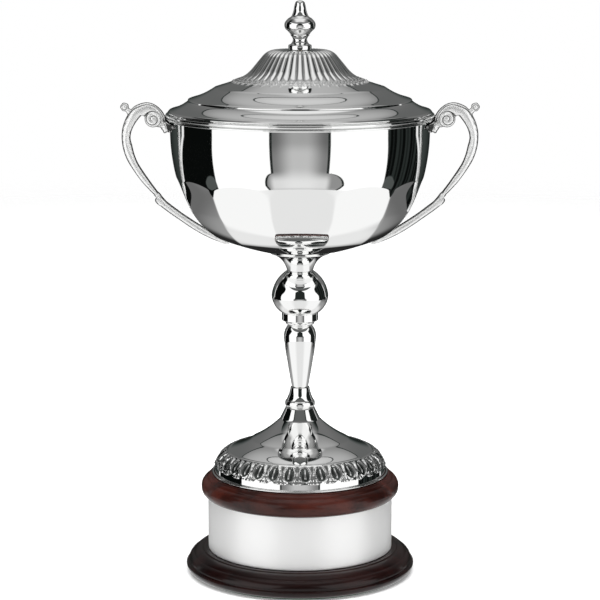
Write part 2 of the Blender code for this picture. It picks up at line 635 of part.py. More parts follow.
def fixings(rod_top):
    """The tie rod from the plinth's nut to the bowl's, and the washer and nuts on it."""
    rod_low = BASE_LOW + GAP
    turned("tie_rod", rod_loop(ROD_RADIUS, rod_low, rod_top - GAP), brass("rod_brass"), FEW)
    nut_low = BASE_LOW + 2 * GAP
    nut("plinth_nut", nut_low, NUT_HEIGHT, NUT_RADIUS, BORE_RADIUS, brass("plinth_nut_brass"))
    washer_low = nut_low + NUT_HEIGHT + GAP
    turned("plinth_washer", ring_loop(BORE_RADIUS, WASHER_RADIUS, washer_low, washer_low + WASHER_THICKNESS),
           brass("plinth_washer_brass"), FEW)
    nut("foot_nut", CAP_TOP - GAP - NUT_HEIGHT, NUT_HEIGHT, NUT_RADIUS, BORE_RADIUS, brass("foot_nut_brass"))


def main():
    """Clears the scene and builds the cup from the ground up."""
    for thing in list(bpy.data.objects):
        bpy.data.objects.remove(thing)
    plinth()
    foot()
    stem()
    rod_top = bowl()
    fixings(rod_top)
    handle(1, "right")
    handle(-1, "left")
    lid()


main()
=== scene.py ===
"""Looks of a lidded two-handled silver cup on a turned mahogany plinth.

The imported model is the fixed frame. Every surface here is worked out in millimetres with numpy as a
function of two parameters, and is put into a mesh in metres. The front of the cup faces -Y.
"""

import logging
import math
from dataclasses import dataclass, field
from enum import Enum

import bmesh
import bpy
import numpy as np
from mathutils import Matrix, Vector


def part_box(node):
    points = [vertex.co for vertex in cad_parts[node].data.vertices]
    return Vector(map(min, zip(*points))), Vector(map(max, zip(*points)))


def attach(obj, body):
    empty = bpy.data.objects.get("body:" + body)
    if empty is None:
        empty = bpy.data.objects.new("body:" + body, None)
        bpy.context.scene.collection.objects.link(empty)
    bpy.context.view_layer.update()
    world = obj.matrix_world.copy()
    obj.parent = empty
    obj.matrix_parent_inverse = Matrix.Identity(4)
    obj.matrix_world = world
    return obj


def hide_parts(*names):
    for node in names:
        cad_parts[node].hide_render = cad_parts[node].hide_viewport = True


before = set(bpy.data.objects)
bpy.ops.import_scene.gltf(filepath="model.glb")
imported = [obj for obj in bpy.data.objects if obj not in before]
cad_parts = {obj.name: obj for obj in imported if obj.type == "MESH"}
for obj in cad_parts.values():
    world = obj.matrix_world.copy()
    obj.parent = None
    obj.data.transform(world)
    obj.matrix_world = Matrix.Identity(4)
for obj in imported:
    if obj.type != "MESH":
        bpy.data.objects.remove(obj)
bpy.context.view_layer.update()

LOG = logging.getLogger("cup")
MM = 0.001
BORE = 3.4  # radius of the holes that the tie rod passes through, in millimetres
GAP = 0.3  # clearance between pieces that meet, in millimetres
TURN = 2.0 * math.pi
Array = np.ndarray
Pair = tuple[float, float]
Triple = tuple[float, float, float]
Outline = tuple[tuple[float, ...], ...]


# ------------------------------------------------------------------ lines
def bulged(points: Outline, step: float = 0.1) -> Array:
    """Dense (radius, height) line through points that may carry a bulge.

    A point (r, z, b) is reached by the circle arc whose middle stands b off the chord:
    radius = (chord^2 / 4 + b^2) / 2b.

    Args:
        points: (radius, height[, bulge]) from the bottom up.
        step: distance between the samples.

    Returns:
        An (n, 2) array.
    """
    parts = [np.array([points[0][:2]], float)]
    for before, after in zip(points, points[1:]):
        start, end = np.array(before[:2], float), np.array(after[:2], float)
        chord = float(np.hypot(*(end - start)))
        share = np.linspace(0.0, 1.0, max(2, int(chord / step) + 1))[1:, None]
        bulge = after[2] if len(after) > 2 else 0.0
        if abs(bulge) < 1e-6:
            parts.append(start + (end - start) * share)
            continue
        radius = (chord * chord / 4 + bulge * bulge) / (2 * abs(bulge))
        across = np.array([end[1] - start[1], start[0] - end[0]]) / chord
        centre = (start + end) / 2 - across * math.copysign(radius - abs(bulge), bulge)
        first = math.atan2(start[1] - centre[1], start[0] - centre[0])
        last = math.atan2(end[1] - centre[1], end[0] - centre[0])
        turn = (last - first + math.pi) % TURN - math.pi
        angle = first + turn * share[:, 0]
        parts.append(centre + radius * np.stack([np.cos(angle), np.sin(angle)], axis=1))
    return np.concatenate(parts)


def walked(line: Array) -> Array:
    """Distance along a line at each of its points."""
    return np.concatenate([[0.0], np.cumsum(np.hypot(*np.diff(line[:, :2], axis=0).T))])


def eased(line: Array, softness: float, step: float = 0.1) -> Array:
    """The line with its corners rounded: a running mean with bell-shaped weights.

    Args:
        line: an (n, 2) line.
        softness: width of the bell; a corner turns into a radius of about that size.
        step: distance between the samples.

    Returns:
        The smoothed line, with its two ends where they were.
    """
    along = walked(line)
    stops = np.linspace(0.0, along[-1], max(8, int(along[-1] / step)))
    even = np.stack([np.interp(stops, along, line[:, axis]) for axis in (0, 1)], axis=1)
    reach = max(1, int(3 * softness / step))
    bell = np.exp(-0.5 * (np.arange(-reach, reach + 1) * step / softness) ** 2)
    bell /= bell.sum()
    head = 2 * even[0] - even[reach:0:-1]
    tail = 2 * even[-1] - even[-2:-reach - 2:-1]
    padded = np.concatenate([head, even, tail])
    return np.stack([np.convolve(padded[:, axis], bell, "valid") for axis in (0, 1)], axis=1)


def spread(line: Array, count: int, bend: float = 5.0, focus: Array | None = None) -> Array:
    """Count points of the line, set closer where it bends and where focus is high.

    The points are even in the sum of length * focus + bend * turning angle.
    """
    steps = np.diff(line[:, :2], axis=0)
    length = np.hypot(*steps.T)
    heading = np.unwrap(np.arctan2(steps[:, 1], steps[:, 0]))
    turning = np.abs(np.gradient(heading))
    weight = length * (1.0 if focus is None else focus[:-1]) + bend * turning
    total = np.concatenate([[0.0], np.cumsum(weight)])
    stops = np.linspace(0.0, total[-1], count)
    return np.stack([np.interp(stops, total, line[:, axis]) for axis in range(line.shape[1])], axis=1)


def sideways(line: Array) -> Array:
    """Unit normals of a line, to the right of its direction, which is outwards when it is read upwards."""
    way = np.gradient(line[:, :2], axis=0)
    way /= np.maximum(np.hypot(*way.T), 1e-9)[:, None]
    return np.stack([way[:, 1], -way[:, 0]], axis=1)


def curve_through(points: Array, count: int) -> Array:
    """Catmull-Rom curve: each span is the cubic through its ends whose slopes come from the neighbours."""
    padded = np.concatenate([[2 * points[0] - points[1]], points, [2 * points[-1] - points[-2]]])
    place = np.linspace(0.0, len(points) - 1 - 1e-9, count)
    span = place.astype(int)
    t = (place - span)[:, None]
    a, b, c, d = (padded[span + k] for k in range(4))
    return 0.5 * (2 * b + (c - a) * t + (2 * a - 5 * b + 4 * c - d) * t**2 + (3 * b - a - 3 * c + d) * t**3)


def ramp(value: Array, low: float, high: float) -> Array:
    """Smooth step from 0 at low to 1 at high: 3t^2 - 2t^3."""
    t = np.clip((value - low) / (high - low), 0.0, 1.0)
    return t * t * (3 - 2 * t)


def window(value: Array, low: float, full: float, high: float, end: float) -> Array:
    """Smooth rise from low to full, times a smooth fall from high to end."""
    return ramp(value, low, full) * (1 - ramp(value, high, end))


def hump(value: Array, middle: float | Array, width: float) -> Array:
    """Bell-shaped line: exp(-((value - middle) / width)^2)."""
    return np.exp(-(((value - middle) / width) ** 2))


# ------------------------------------------------------------------ grids and meshes
def weave(rows: int, columns: int, close_rows: bool, close_columns: bool) -> Array:
    """Quads of a grid of rows x columns points, with either direction joined end to end if asked."""
    i = np.arange(rows if close_rows else rows - 1)[:, None]
    j = np.arange(columns if close_columns else columns - 1)[None, :]
    up, across = (i + 1) % rows, (j + 1) % columns
    quads = [i * columns + j, i * columns + across, up * columns + across, up * columns + j]
    return np.stack([np.broadcast_to(q, (i.size, j.size)).ravel() for q in quads], axis=1)


def facing_out(points: Array, quads: Array) -> Array:
    """The quads, turned over if the volume that they enclose comes out negative."""
    a, b, c, d = (points[quads[:, k]] for k in range(4))
    volume = np.einsum("ij,ij->i", a, np.cross(b, c) + np.cross(c, d)).sum()
    return quads[:, ::-1] if volume < 0 else quads


@dataclass
class Solid:
    """Points in millimetres, quads, and how deep each point lies in the relief, from 0 to 1."""

    points: Array
    quads: Array
    hollow: Array | None = None

    def oriented(self) -> "Solid":
        """The solid with its faces pointing outwards."""
        self.quads = facing_out(self.points, self.quads)
        return self

    def mesh(self, name: str) -> bpy.types.Mesh:
        """Puts the arrays into a mesh in metres, with the hollow attribute, and shades it smooth."""
        data = bpy.data.meshes.new(name)
        data.from_pydata((self.points * MM).astype(np.float32), [], self.quads)
        hollow = np.zeros(len(self.points), np.float32) if self.hollow is None else self.hollow
        data.attributes.new("hollow", "FLOAT", "POINT").data.foreach_set("value", hollow.astype(np.float32))
        closing = bmesh.new()
        closing.from_mesh(data)
        bmesh.ops.remove_doubles(closing, verts=closing.verts, dist=2e-7)
        closing.to_mesh(data)
        closing.free()
        data.validate()
        data.shade_smooth()
        return data


def joined(solids: list[Solid]) -> Solid:
    """Several closed solids as one set of arrays."""
    starts = np.cumsum([0] + [len(s.points) for s in solids[:-1]])
    return Solid(np.concatenate([s.points for s in solids]),
                 np.concatenate([s.quads + start for s, start in zip(solids, starts)]))


def around(count: int) -> Array:
    """Even angles round a full turn, without the last, which would repeat the first."""
    return np.arange(count) * TURN / count


def skinned(grid: Array, close_rows: bool = False, close_columns: bool = True) -> Solid:
    """Closed solid over a (rows, columns, 3) grid of points."""
    rows, columns = grid.shape[:2]
    return Solid(grid.reshape(-1, 3), weave(rows, columns, close_rows, close_columns)).oriented()


def lathe(line: Array, sides: int) -> tuple[Array, Array, Array]:
    """Grids of radius, height and angle for a line turned round Z."""
    return (np.repeat(line[:, :1], sides, axis=1), np.repeat(line[:, 1:2], sides, axis=1),
            np.repeat(around(sides)[None, :], len(line), axis=0))


def from_polar(radius: Array, height: Array, angle: Array) -> Array:
    """Grid of points (r cos a, r sin a, z) from equal-shaped grids."""
    return np.stack([radius * np.cos(angle), radius * np.sin(angle), height], axis=-1)


def turned(line: Array, sides: int, loop: bool = True) -> Solid:
    """A line turned round Z: a ring when the line closes on itself, or a body whose ends lie on the axis."""
    return skinned(from_polar(*lathe(line, sides)), loop)


# ------------------------------------------------------------------ node graphs
Socket = bpy.types.NodeSocket


class Graph:
    """Short hand for wiring the nodes of a material or of the world."""

    def __init__(self, tree: bpy.types.NodeTree) -> None:
        """Clears the tree and keeps it."""
        self.tree = tree
        tree.nodes.clear()

    @classmethod
    def of_material(cls, name: str) -> tuple[bpy.types.Material, "Graph"]:
        """A new material and the graph of its nodes."""
        made = bpy.data.materials.new(name)
        made.use_nodes = True
        return made, cls(made.node_tree)

    def surface(self, shader: Socket) -> None:
        """Feeds a shader to the material's output."""
        self.node("ShaderNodeOutputMaterial", {"Surface": shader})

    def principled(self, inputs: dict[str | int, object]) -> None:
        """Makes a Principled shader of the inputs the material's surface."""
        self.surface(self.node("ShaderNodeBsdfPrincipled", inputs).outputs[0])

    def node(self, kind: str, inputs: dict[str | int, object] | None = None, **settings: object) -> bpy.types.Node:
        """Adds a node.

        Args:
            kind: the node's type name.
            inputs: a value or a socket for each named input.
            settings: attributes set on the node itself.

        Returns:
            The new node.
        """
        made = self.tree.nodes.new(kind)
        for key, value in settings.items():
            setattr(made, key, value)
        for key, value in (inputs or {}).items():
            self.feed(made.inputs[key], value)
        return made

    def feed(self, socket: Socket, value: object) -> None:
        """Links a socket to another, or sets its value."""
        if isinstance(value, bpy.types.NodeSocket):
            self.tree.links.new(value, socket)
        else:
            socket.default_value = value

    def maths(self, operation: str, a: object, b: object = 0.0, c: object = 0.0) -> Socket:
        """One Math node."""
        return self.node("ShaderNodeMath", {0: a, 1: b, 2: c}, operation=operation).outputs[0]

    def times(self, a: object, b: object) -> Socket:
        """a * b."""
        return self.maths("MULTIPLY", a, b)

    def plus(self, a: object, b: object) -> Socket:
        """a + b."""
        return self.maths("ADD", a, b)

    def minus(self, a: object, b: object) -> Socket:
        """a - b."""
        return self.maths("SUBTRACT", a, b)

    def ratio(self, a: object, b: object) -> Socket:
        """a / b."""
        return self.maths("DIVIDE", a, b)

    def power(self, a: object, b: float) -> Socket:
        """a to the power b."""
        return self.maths("POWER", a, b)

    def fused(self, a: object, b: object, c: object) -> Socket:
        """a * b + c."""
        return self.maths("MULTIPLY_ADD", a, b, c)

    def ellipse(self, a: object, b: object, centre: Pair, size: Pair) -> Socket:
        """((a - centre) / size)^2 plus the same of b, which is 1 on the ellipse."""
        return self.plus(*(self.power(self.ratio(self.minus(value, middle), reach), 2.0)
                           for value, middle, reach in zip((a, b), centre, size)))

    def step(self, value: object, low: float, high: float, start: float = 0.0, end: float = 1.0) -> Socket:
        """Smooth step of a value from low to high, giving start to end."""
        made = self.node("ShaderNodeMapRange", {"Value": value, "From Min": low, "From Max": high,
                                                "To Min": start, "To Max": end},
                         interpolation_type="SMOOTHSTEP")
        return made.outputs["Result"]

    def above(self, value: object, limit: object, soft: float) -> Socket:
        """0 under the limit and 1 over it, with an edge as wide as soft."""
        made = self.fused(self.minus(value, limit), 1.0 / soft, 0.5)
        made.node.use_clamp = True
        return made

    def both(self, *shares: object) -> Socket:
        """Product of several shares."""
        made = shares[0]
        for share in shares[1:]:
            made = self.times(made, share)
        return made

    def flip(self, share: object) -> Socket:
        """1 less the share."""
        return self.minus(1.0, share)

    def blend(self, share: object, a: object, b: object) -> Socket:
        """Number mix from a to b."""
        made = self.node("ShaderNodeMix", {0: share, 2: a, 3: b}, data_type="FLOAT")
        return made.outputs[0]

    def tint(self, share: object, a: object, b: object, mode: str = "MIX") -> Socket:
        """Colour mix from a to b."""
        made = self.node("ShaderNodeMix", {0: share, 6: a, 7: b}, data_type="RGBA", blend_type=mode)
        return made.outputs[2]

    def grey(self, value: object) -> Socket:
        """A grey of that value."""
        return self.node("ShaderNodeCombineColor", {0: value, 1: value, 2: value}).outputs[0]

    def place(self, scale: Triple = (1, 1, 1)) -> Socket:
        """Object coordinates, stretched."""
        source = self.node("ShaderNodeTexCoord").outputs["Object"]
        return self.node("ShaderNodeMapping", {"Vector": source, "Scale": scale}).outputs["Vector"]

    def noise(self, scale: float, stretch: Triple = (1, 1, 1), detail: float = 3.0,
              twist: float = 0.0) -> Socket:
        """Noise on object coordinates, from 0 to 1."""
        made = self.node("ShaderNodeTexNoise", {"Vector": self.place(stretch), "Scale": scale, "Detail": detail,
                                                "Distortion": twist})
        return made.outputs["Fac"]

    def bump(self, height: object, strength: float, distance: float) -> Socket:
        """A Bump node's normal."""
        return self.node("ShaderNodeBump", {"Height": height, "Strength": strength,
                                            "Distance": distance}).outputs["Normal"]


def in_scene(name: str, data: bpy.types.ID) -> bpy.types.Object:
    """A new object for the data, linked to the scene."""
    thing = bpy.data.objects.new(name, data)
    bpy.context.scene.collection.objects.link(thing)
    return thing


def rgba(red: float, green: float, blue: float) -> tuple[float, float, float, float]:
    """An opaque colour."""
    return (red, green, blue, 1.0)


# ------------------------------------------------------------------ finishes
@dataclass(frozen=True)
class SilverFinish:
    """Silver plate, from mirror bright to frosted.

    The roughness wanders with the rubbing of the polishing cloth, the hollows of the relief keep a
    dark tarnish, and rim is how much painted shade darkens the colour and the specular tint where
    the surface turns away from the view.
    """

    name: str
    colour: Triple = (0.965, 0.968, 0.962)
    gloss: float = 0.025
    wander: float = 0.02
    grain: float = 0.0
    brushed: float = 0.0
    tarnish: Triple = (0.10, 0.11, 0.105)
    metal: float = 1.0
    rim: float = 0.0
    rim_shade_colour: Triple = (0.03, 0.032, 0.03)

    def material(self) -> bpy.types.Material:
        """Builds the node material."""
        made, g = Graph.of_material(self.name)
        hollow = g.node("ShaderNodeAttribute", attribute_name="hollow").outputs["Fac"]
        cloth = g.noise(38.0, detail=4.0)
        scratch = g.noise(900.0, (1.0, 1.0, 0.06), 2.0)
        rough = g.fused(cloth, self.wander, self.gloss)
        rough = g.fused(g.step(scratch, 0.62, 0.75), self.wander * 0.8, rough)
        rough = g.fused(hollow, 0.3, rough)
        deep = g.step(hollow, 0.25, 0.95)
        colour = g.tint(deep, rgba(*self.colour), rgba(*self.tarnish))
        # Painted shade: the colour is darkened towards the rim colour where the surface turns away from the view.
        if self.rim:
            facing = g.node("ShaderNodeLayerWeight", {"Blend": 0.5}).outputs["Facing"]
            share = g.times(g.step(facing, 0.24, 0.58), self.rim)
            colour = g.tint(share, colour, rgba(*self.rim_shade_colour))
        inputs = {"Base Color": colour, "Metallic": self.metal, "Roughness": rough}
        # Painted shade on the reflections: the specular tint greys where the surface turns away from the view.
        if self.rim:
            inputs["Specular Tint"] = g.tint(g.step(facing, 0.30, 0.65), rgba(1, 1, 1), rgba(0.15, 0.15, 0.15))
        if self.grain or self.brushed:
            fine = g.noise(1400.0, detail=2.0)
            lines = g.noise(60.0, (1.0, 1.0, 40.0), 3.0)
            height = g.plus(g.times(fine, self.grain), g.times(lines, self.brushed))
            inputs["Normal"] = g.bump(height, 0.35, 0.0002)
        g.principled(inputs)
        return made


@dataclass(frozen=True)
class MahoganyFinish:
    """Dark French-polished mahogany: figure, pores along the grain, and a clear coat."""

    name: str
    dark: Triple = (0.007, 0.0018, 0.0014)
    light: Triple = (0.072, 0.0145, 0.0090)

    def material(self) -> bpy.types.Material:
        """Builds the node material, with the grain along X."""
        made, g = Graph.of_material(self.name)
        figure = g.noise(26.0, (0.5, 1.5, 1.5), 6.0, 1.2)
        fleck = g.noise(420.0, (0.30, 1.0, 1.0), 3.0)
        pores = g.step(g.noise(760.0, (0.05, 1.0, 1.0), 2.0), 0.60, 0.70)
        share = g.fused(g.step(figure, 0.30, 0.72), 0.75, g.times(fleck, 0.32))
        colour = g.tint(share, rgba(*self.dark), rgba(*self.light))
        colour = g.tint(g.times(pores, 0.55), colour, rgba(0.006, 0.0015, 0.001))
        rough = g.fused(g.noise(24.0), 0.12, 0.30)
        g.principled({
            "Base Color": colour, "Roughness": rough, "Coat Weight": 0.48, "Coat Roughness": 0.15,
            "Specular IOR Level": 0.12, "Normal": g.bump(g.flip(pores), 0.12, 0.0001)})
        return made


@dataclass(frozen=True)
class MachinedFinish:
    """Turned or drawn metal of the hidden fixings: fine tool rings and a patchy skin."""

    name: str
    colour: Triple
    stain: Triple
    roughness: float = 0.28

    def material(self) -> bpy.types.Material:
        """Builds the node material."""
        made, g = Graph.of_material(self.name)
        patch = g.step(g.noise(130.0, detail=5.0), 0.42, 0.72)
        rings = g.noise(500.0, (0.5, 0.5, 6.0), 2.0)
        colour = g.tint(g.times(patch, 0.7), rgba(*self.colour), rgba(*self.stain))
        rough = g.fused(patch, 0.2, self.roughness)
        g.principled({"Base Color": colour, "Metallic": 1.0, "Roughness": rough,
                      "Normal": g.bump(rings, 0.25, 0.0002)})
        return made


@dataclass(frozen=True)
class BaizeFinish:
    """Green wool baize: felted fibres with a little sheen."""

    name: str
    dark: Triple = (0.008, 0.035, 0.018)
    light: Triple = (0.030, 0.115, 0.060)

    def material(self) -> bpy.types.Material:
        """Builds the node material."""
        made, g = Graph.of_material(self.name)
        fibre = g.noise(1500.0, (1.0, 0.35, 1.0), 4.0, 1.2)
        clump = g.noise(260.0, detail=4.0)
        share = g.fused(fibre, 0.7, g.times(clump, 0.35))
        g.principled({
            "Base Color": g.tint(share, rgba(*self.dark), rgba(*self.light)), "Roughness": 0.95,
            "Sheen Weight": 0.4, "Sheen Roughness": 0.5, "Normal": g.bump(share, 0.6, 0.0006)})
        return made


class Slot(Enum):
    """The record's material slots."""

    POLISHED = "polished_silver"
    CAST = "cast_silver"
    BAND = "band_silver"
    WOOD = "mahogany"
    BRASS = "brass"
    STEEL = "screw_steel"
    BAIZE = "baize"


class Workshop:
    """Holds one material for each slot, and puts finished pieces into the scene."""

    def __init__(self) -> None:
        """Makes every finish once."""
        finishes = {
            Slot.POLISHED: SilverFinish("silver_mirror"),
            # The cast silver takes a strong painted rim shade where it turns away from the view.
            Slot.CAST: SilverFinish("silver_cast", (0.955, 0.957, 0.952), 0.30, 0.06, grain=0.03,
                                    tarnish=(0.06, 0.063, 0.06), metal=0.72, rim=0.92),
            Slot.BAND: SilverFinish("silver_satin", (0.88, 0.88, 0.875), 0.38, 0.05, brushed=0.25, metal=0.48),
            Slot.WOOD: MahoganyFinish("mahogany_polished"),
            Slot.BRASS: MachinedFinish("brass_turned", (0.74, 0.53, 0.24), (0.42, 0.25, 0.10)),
            Slot.STEEL: MachinedFinish("steel_screw", (0.62, 0.62, 0.62), (0.36, 0.36, 0.37), 0.32),
            Slot.BAIZE: BaizeFinish("baize_green"),
        }
        self.materials = {slot: finish.material() for slot, finish in finishes.items()}
        # A darker, shaded copy of the mahogany for the base: painted shade.
        shaded = MahoganyFinish("mahogany_shaded", (0.0018, 0.0006, 0.0006), (0.016, 0.0042, 0.0036))
        self.painted_shade_wood = shaded.material()
        self.made: list[str] = []

    def put(self, name: str, solid: Solid, slot: Slot, nodes: tuple[str, ...],
            body: str = "root") -> bpy.types.Object:
        """Makes an object of a solid, dresses it and hangs it on its body.

        Args:
            name: the piece's name.
            solid: its shape, in place.
            slot: the material slot that it takes its finish from.
            nodes: the CAD nodes that it stands for.
            body: the body that it rides on.

        Returns:
            The new object.
        """
        data = solid.mesh(name)
        thing = in_scene(name, data)
        data.materials.append(self.materials[slot])
        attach(thing, body)
        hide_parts(*nodes)
        self.made.append(name)
        LOG.info("%s: %d faces", name, len(data.polygons))
        return thing

    def dress(self, node: str, slot: Slot) -> None:
        """Gives a CAD node that stays in view its finish."""
        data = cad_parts[node].data
        data.materials.clear()
        data.materials.append(self.materials[slot])


def base_of(node: str) -> float:
    """Lowest height of a CAD node, in millimetres."""
    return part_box(node)[0].z / MM


def top_of(node: str) -> float:
    """Highest point of a CAD node, in millimetres."""
    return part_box(node)[1].z / MM


def reach_of(node: str) -> float:
    """Largest radius of a turned CAD node, in millimetres."""
    low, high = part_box(node)
    return max(high.x, -low.x) / MM


def extent(node: str) -> Triple:
    """Lowest height, highest point and largest radius of a turned CAD node."""
    return base_of(node), top_of(node), reach_of(node)


# ------------------------------------------------------------------ studio
@dataclass
class Studio:
    """White table, camera, and a surround of lit screens and dark gaps for the silver to mirror.

    Lengths are metres. Angles are degrees: side from the front (-Y), rise above level. Mirrors see
    the table as far as table in front and behind at the back. The apron is the grey sheet under
    the camera, brim is the bulge low on its edges, left and right, and the slit is a lit gap
    between two dark screens towards the back. The screens' edges lean out under lean_below.
    """

    eye: Triple = (0.0, -1.6958, 0.5195)
    pitch: float = 10.1
    lens: float = 132.0
    table: float = 0.545
    sweep: float = 2.6
    behind: float = 0.74
    lean_below: float = -6.0
    slit: float = 123.6
    slit_width: float = 4.0
    screen_edge: float = 83.0
    apron_top: float = -4.6
    apron_half: float = 26.8
    brim_rise: float = -30.0
    brim_tall: float = 6.3
    brim_left: float = 7.0
    brim_right: float = 16.5

    def build(self) -> None:
        """Makes the camera, the table, the surround and the soft lights."""
        bpy.context.scene.view_settings.view_transform = "Standard"
        self.camera()
        self.floor()
        self.surround()
        self.lights()

    def camera(self) -> None:
        """A long lens, looking down a little from the front."""
        data = bpy.data.cameras.new("camera")
        data.lens = self.lens
        data.sensor_width = 36.0
        data.clip_end = 60.0
        thing = in_scene("camera", data)
        thing.location = self.eye
        thing.rotation_euler = (math.radians(90.0 - self.pitch), 0.0, 0.0)
        bpy.context.scene.camera = thing

    def floor(self) -> None:
        """A white disc that fades out; mirrors see it only as far as the table's edge."""
        sides = 96
        line = np.array([(radius, 0.0) for radius in (10, 200, 600, 1200, 2000, 3000)])
        grid = from_polar(*lathe(line, sides)).reshape(-1, 3)
        faces = weave(len(line), sides, False, True).tolist() + [list(range(sides - 1, -1, -1))]
        data = bpy.data.meshes.new("floor")
        data.from_pydata(grid * MM, [], faces)
        data.materials.append(self.tabletop())
        in_scene("floor", data)

    def tabletop(self) -> bpy.types.Material:
        """White paper lit from above, with a faint even glow; mirrors see a glow instead, its painted brightness and
        painted shade set by side and distance, up to its edge.
        """
        made, g = Graph.of_material("white_table")
        spot = g.node("ShaderNodeSeparateXYZ", {0: g.place()})
        x, y = spot.outputs[0], spot.outputs[1]
        far = g.maths("SQRT", g.fused(x, x, g.times(y, y)))
        turn = g.times(g.maths("ARCTAN2", x, g.times(y, -1.0)), 180 / math.pi)
        turn = g.maths("ABSOLUTE", turn)
        # Painted light for the mirrors: a glow brighter at the sides, with painted shade further off and behind.
        tone = g.blend(g.step(turn, 20.0, 44.0), 0.80, 0.96)
        dim = g.blend(g.step(far, 0.20, 0.34), 0.82, g.step(far, 0.36, 0.66, 0.33, 0.14))
        dim = g.blend(g.step(turn, 146.0, 160.0), dim, g.step(far, 0.22, 0.38, 0.50, 0.02))
        tone = g.blend(g.step(turn, 88.0, 104.0), tone, dim)
        painted_table_glow = g.node("ShaderNodeEmission", {"Color": g.grey(tone)}).outputs[0]
        paint = g.node("ShaderNodeBsdfDiffuse", {"Color": rgba(0.93, 0.93, 0.93)}).outputs[0]
        lift = g.node("ShaderNodeEmission", {"Color": rgba(1, 1, 1), "Strength": 0.20}).outputs[0]
        paint = g.node("ShaderNodeAddShader", {0: paint, 1: lift}).outputs[0]
        glossy = g.node("ShaderNodeLightPath").outputs["Is Glossy Ray"]
        seen = g.node("ShaderNodeMixShader", {0: glossy, 1: paint, 2: painted_table_glow}).outputs[0]
        edge = g.blend(g.step(turn, 90.0, 128.0), self.table, self.behind)
        glance = g.node("ShaderNodeLayerWeight", {"Blend": 0.5}).outputs["Facing"]
        lost = g.maths("MAXIMUM", g.above(far, edge, 0.004), g.above(glance, 0.68, 0.01))
        gone = g.blend(glossy, g.step(far, self.sweep - 0.8, self.sweep), lost)
        clear = g.node("ShaderNodeBsdfTransparent").outputs[0]
        g.surface(g.node("ShaderNodeMixShader", {0: gone, 1: seen, 2: clear}).outputs[0])
        return made

    def surround(self) -> None:
        """World colour by direction: side is degrees from the front, rise is degrees above level.

        Lit screens stand left and right of the camera, with a dark room behind it above a grey apron
        that has a rounded brim, black gaps beyond them, a dim back, and soft panels overhead.
        """
        world = bpy.data.worlds.new("studio")
        bpy.context.scene.world = world
        world.use_nodes = True
        g = Graph(world.node_tree)
        way = g.node("ShaderNodeSeparateXYZ", {0: g.node("ShaderNodeTexCoord").outputs["Generated"]})
        x, y, z = way.outputs
        degrees = 180 / math.pi
        side = g.times(g.maths("ARCTAN2", x, g.times(y, -1.0)), degrees)
        turn = g.maths("ABSOLUTE", side)
        rise = g.times(g.maths("ARCSINE", z), degrees)
        value = self.far_side(g, side, turn, rise)
        value = self.ceiling(g, x, y, z, turn, rise, value)
        value = self.near_side(g, side, turn, rise, value)
        cool = g.tint(g.step(value, 0.0, 0.16), rgba(0.80, 1.0, 0.93), rgba(1.0, 1.0, 1.0))
        seen = g.tint(1.0, g.grey(value), cool, "MULTIPLY")
        camera = g.node("ShaderNodeLightPath").outputs["Is Camera Ray"]
        colour = g.tint(camera, seen, rgba(1.0, 1.0, 1.0))
        light = g.node("ShaderNodeBackground", {"Color": colour, "Strength": 1.0})
        g.node("ShaderNodeOutputWorld", {"Surface": light.outputs[0]})

    def far_side(self, g: Graph, side: Socket, turn: Socket, rise: Socket) -> Socket:
        """The dim back of the studio, a lit slit that leans away, and black gaps, streaked on the right."""
        high = g.blend(g.step(turn, 138.0, 168.0), 0.035, g.step(rise, 30.0, 60.0, 0.0, 0.11))
        value = g.plus(g.step(rise, -2.0, 14.0, 0.016, 0.125), high)
        drop = g.maths("MAXIMUM", 0.0, g.minus(self.lean_below, rise))
        slit = g.fused(drop, 1.5, self.slit)
        wave = g.plus(g.maths("SINE", g.times(side, 0.47)), g.maths("SINE", g.times(side, 1.13)))
        dark = g.blend(g.both(g.step(wave, -1.0, 1.2), g.above(side, 0.0, 1.0)), 0.003, 0.026)
        gap = g.both(g.flip(g.above(turn, slit, 1.0)), g.step(rise, 44.0, 60.0, 1.0, 0.0))
        value = g.blend(gap, value, dark)
        lit = g.both(g.above(turn, slit, 0.8), g.flip(g.above(turn, g.plus(slit, self.slit_width), 0.8)),
                     g.step(rise, 12.0, 20.0, 1.0, 0.0))
        value = g.blend(lit, value, 0.85)
        blot = g.ellipse(turn, rise, (94.0, -25.0), (8.0, 4.0))
        return g.blend(g.step(blot, 0.8, 1.1, 1.0, 0.0), value, 0.085)

    def ceiling(self, g: Graph, x: Socket, y: Socket, z: Socket, turn: Socket, rise: Socket,
                value: Socket) -> Socket:
        """Grey ceiling over the screens, a bright middle, and two ovals with a fine dark edge.

        Across and ahead are the flat coordinates on a plane overhead, x / z and -y / z. An oval is
        (across / width)^2 + ((ahead - middle) / length)^2 < 1.
        """
        above_screens = g.both(g.step(turn, 84.0, 112.0, 1.0, 0.0), g.step(rise, 28.0, 31.0))
        value = g.blend(above_screens, value, g.step(rise, 33.0, 66.0, 0.11, 0.22))
        lift = g.maths("MAXIMUM", z, 0.05)
        across = g.maths("ABSOLUTE", g.ratio(x, lift))
        ahead = g.ratio(g.times(y, -1.0), lift)
        over = g.step(z, 0.30, 0.36)
        for width, middle, length, inner, outer, line in ((0.68, -0.95, 0.95, 0.46, 0.25, 0.055),
                                                          (0.30, -0.74, 0.30, 0.62, 0.50, 0.06)):
            oval = g.ellipse(across, ahead, (0.0, middle), (width, length))
            value = g.blend(g.both(g.step(oval, 1.0 + line, 1.0 + line * 2, 1.0, 0.0), over), value, 0.035)
            tone = g.step(oval, 0.0, 1.0, inner, outer)
            value = g.blend(g.both(g.step(oval, 1.0 - line, 1.0, 1.0, 0.0), over), value, tone)
        bright = g.both(g.step(across, 0.25, 0.62, 1.0, 0.0), g.step(ahead, -0.42, -0.28),
                        g.step(ahead, 0.30, 0.42, 1.0, 0.0), over)
        return g.blend(bright, value, 0.82)

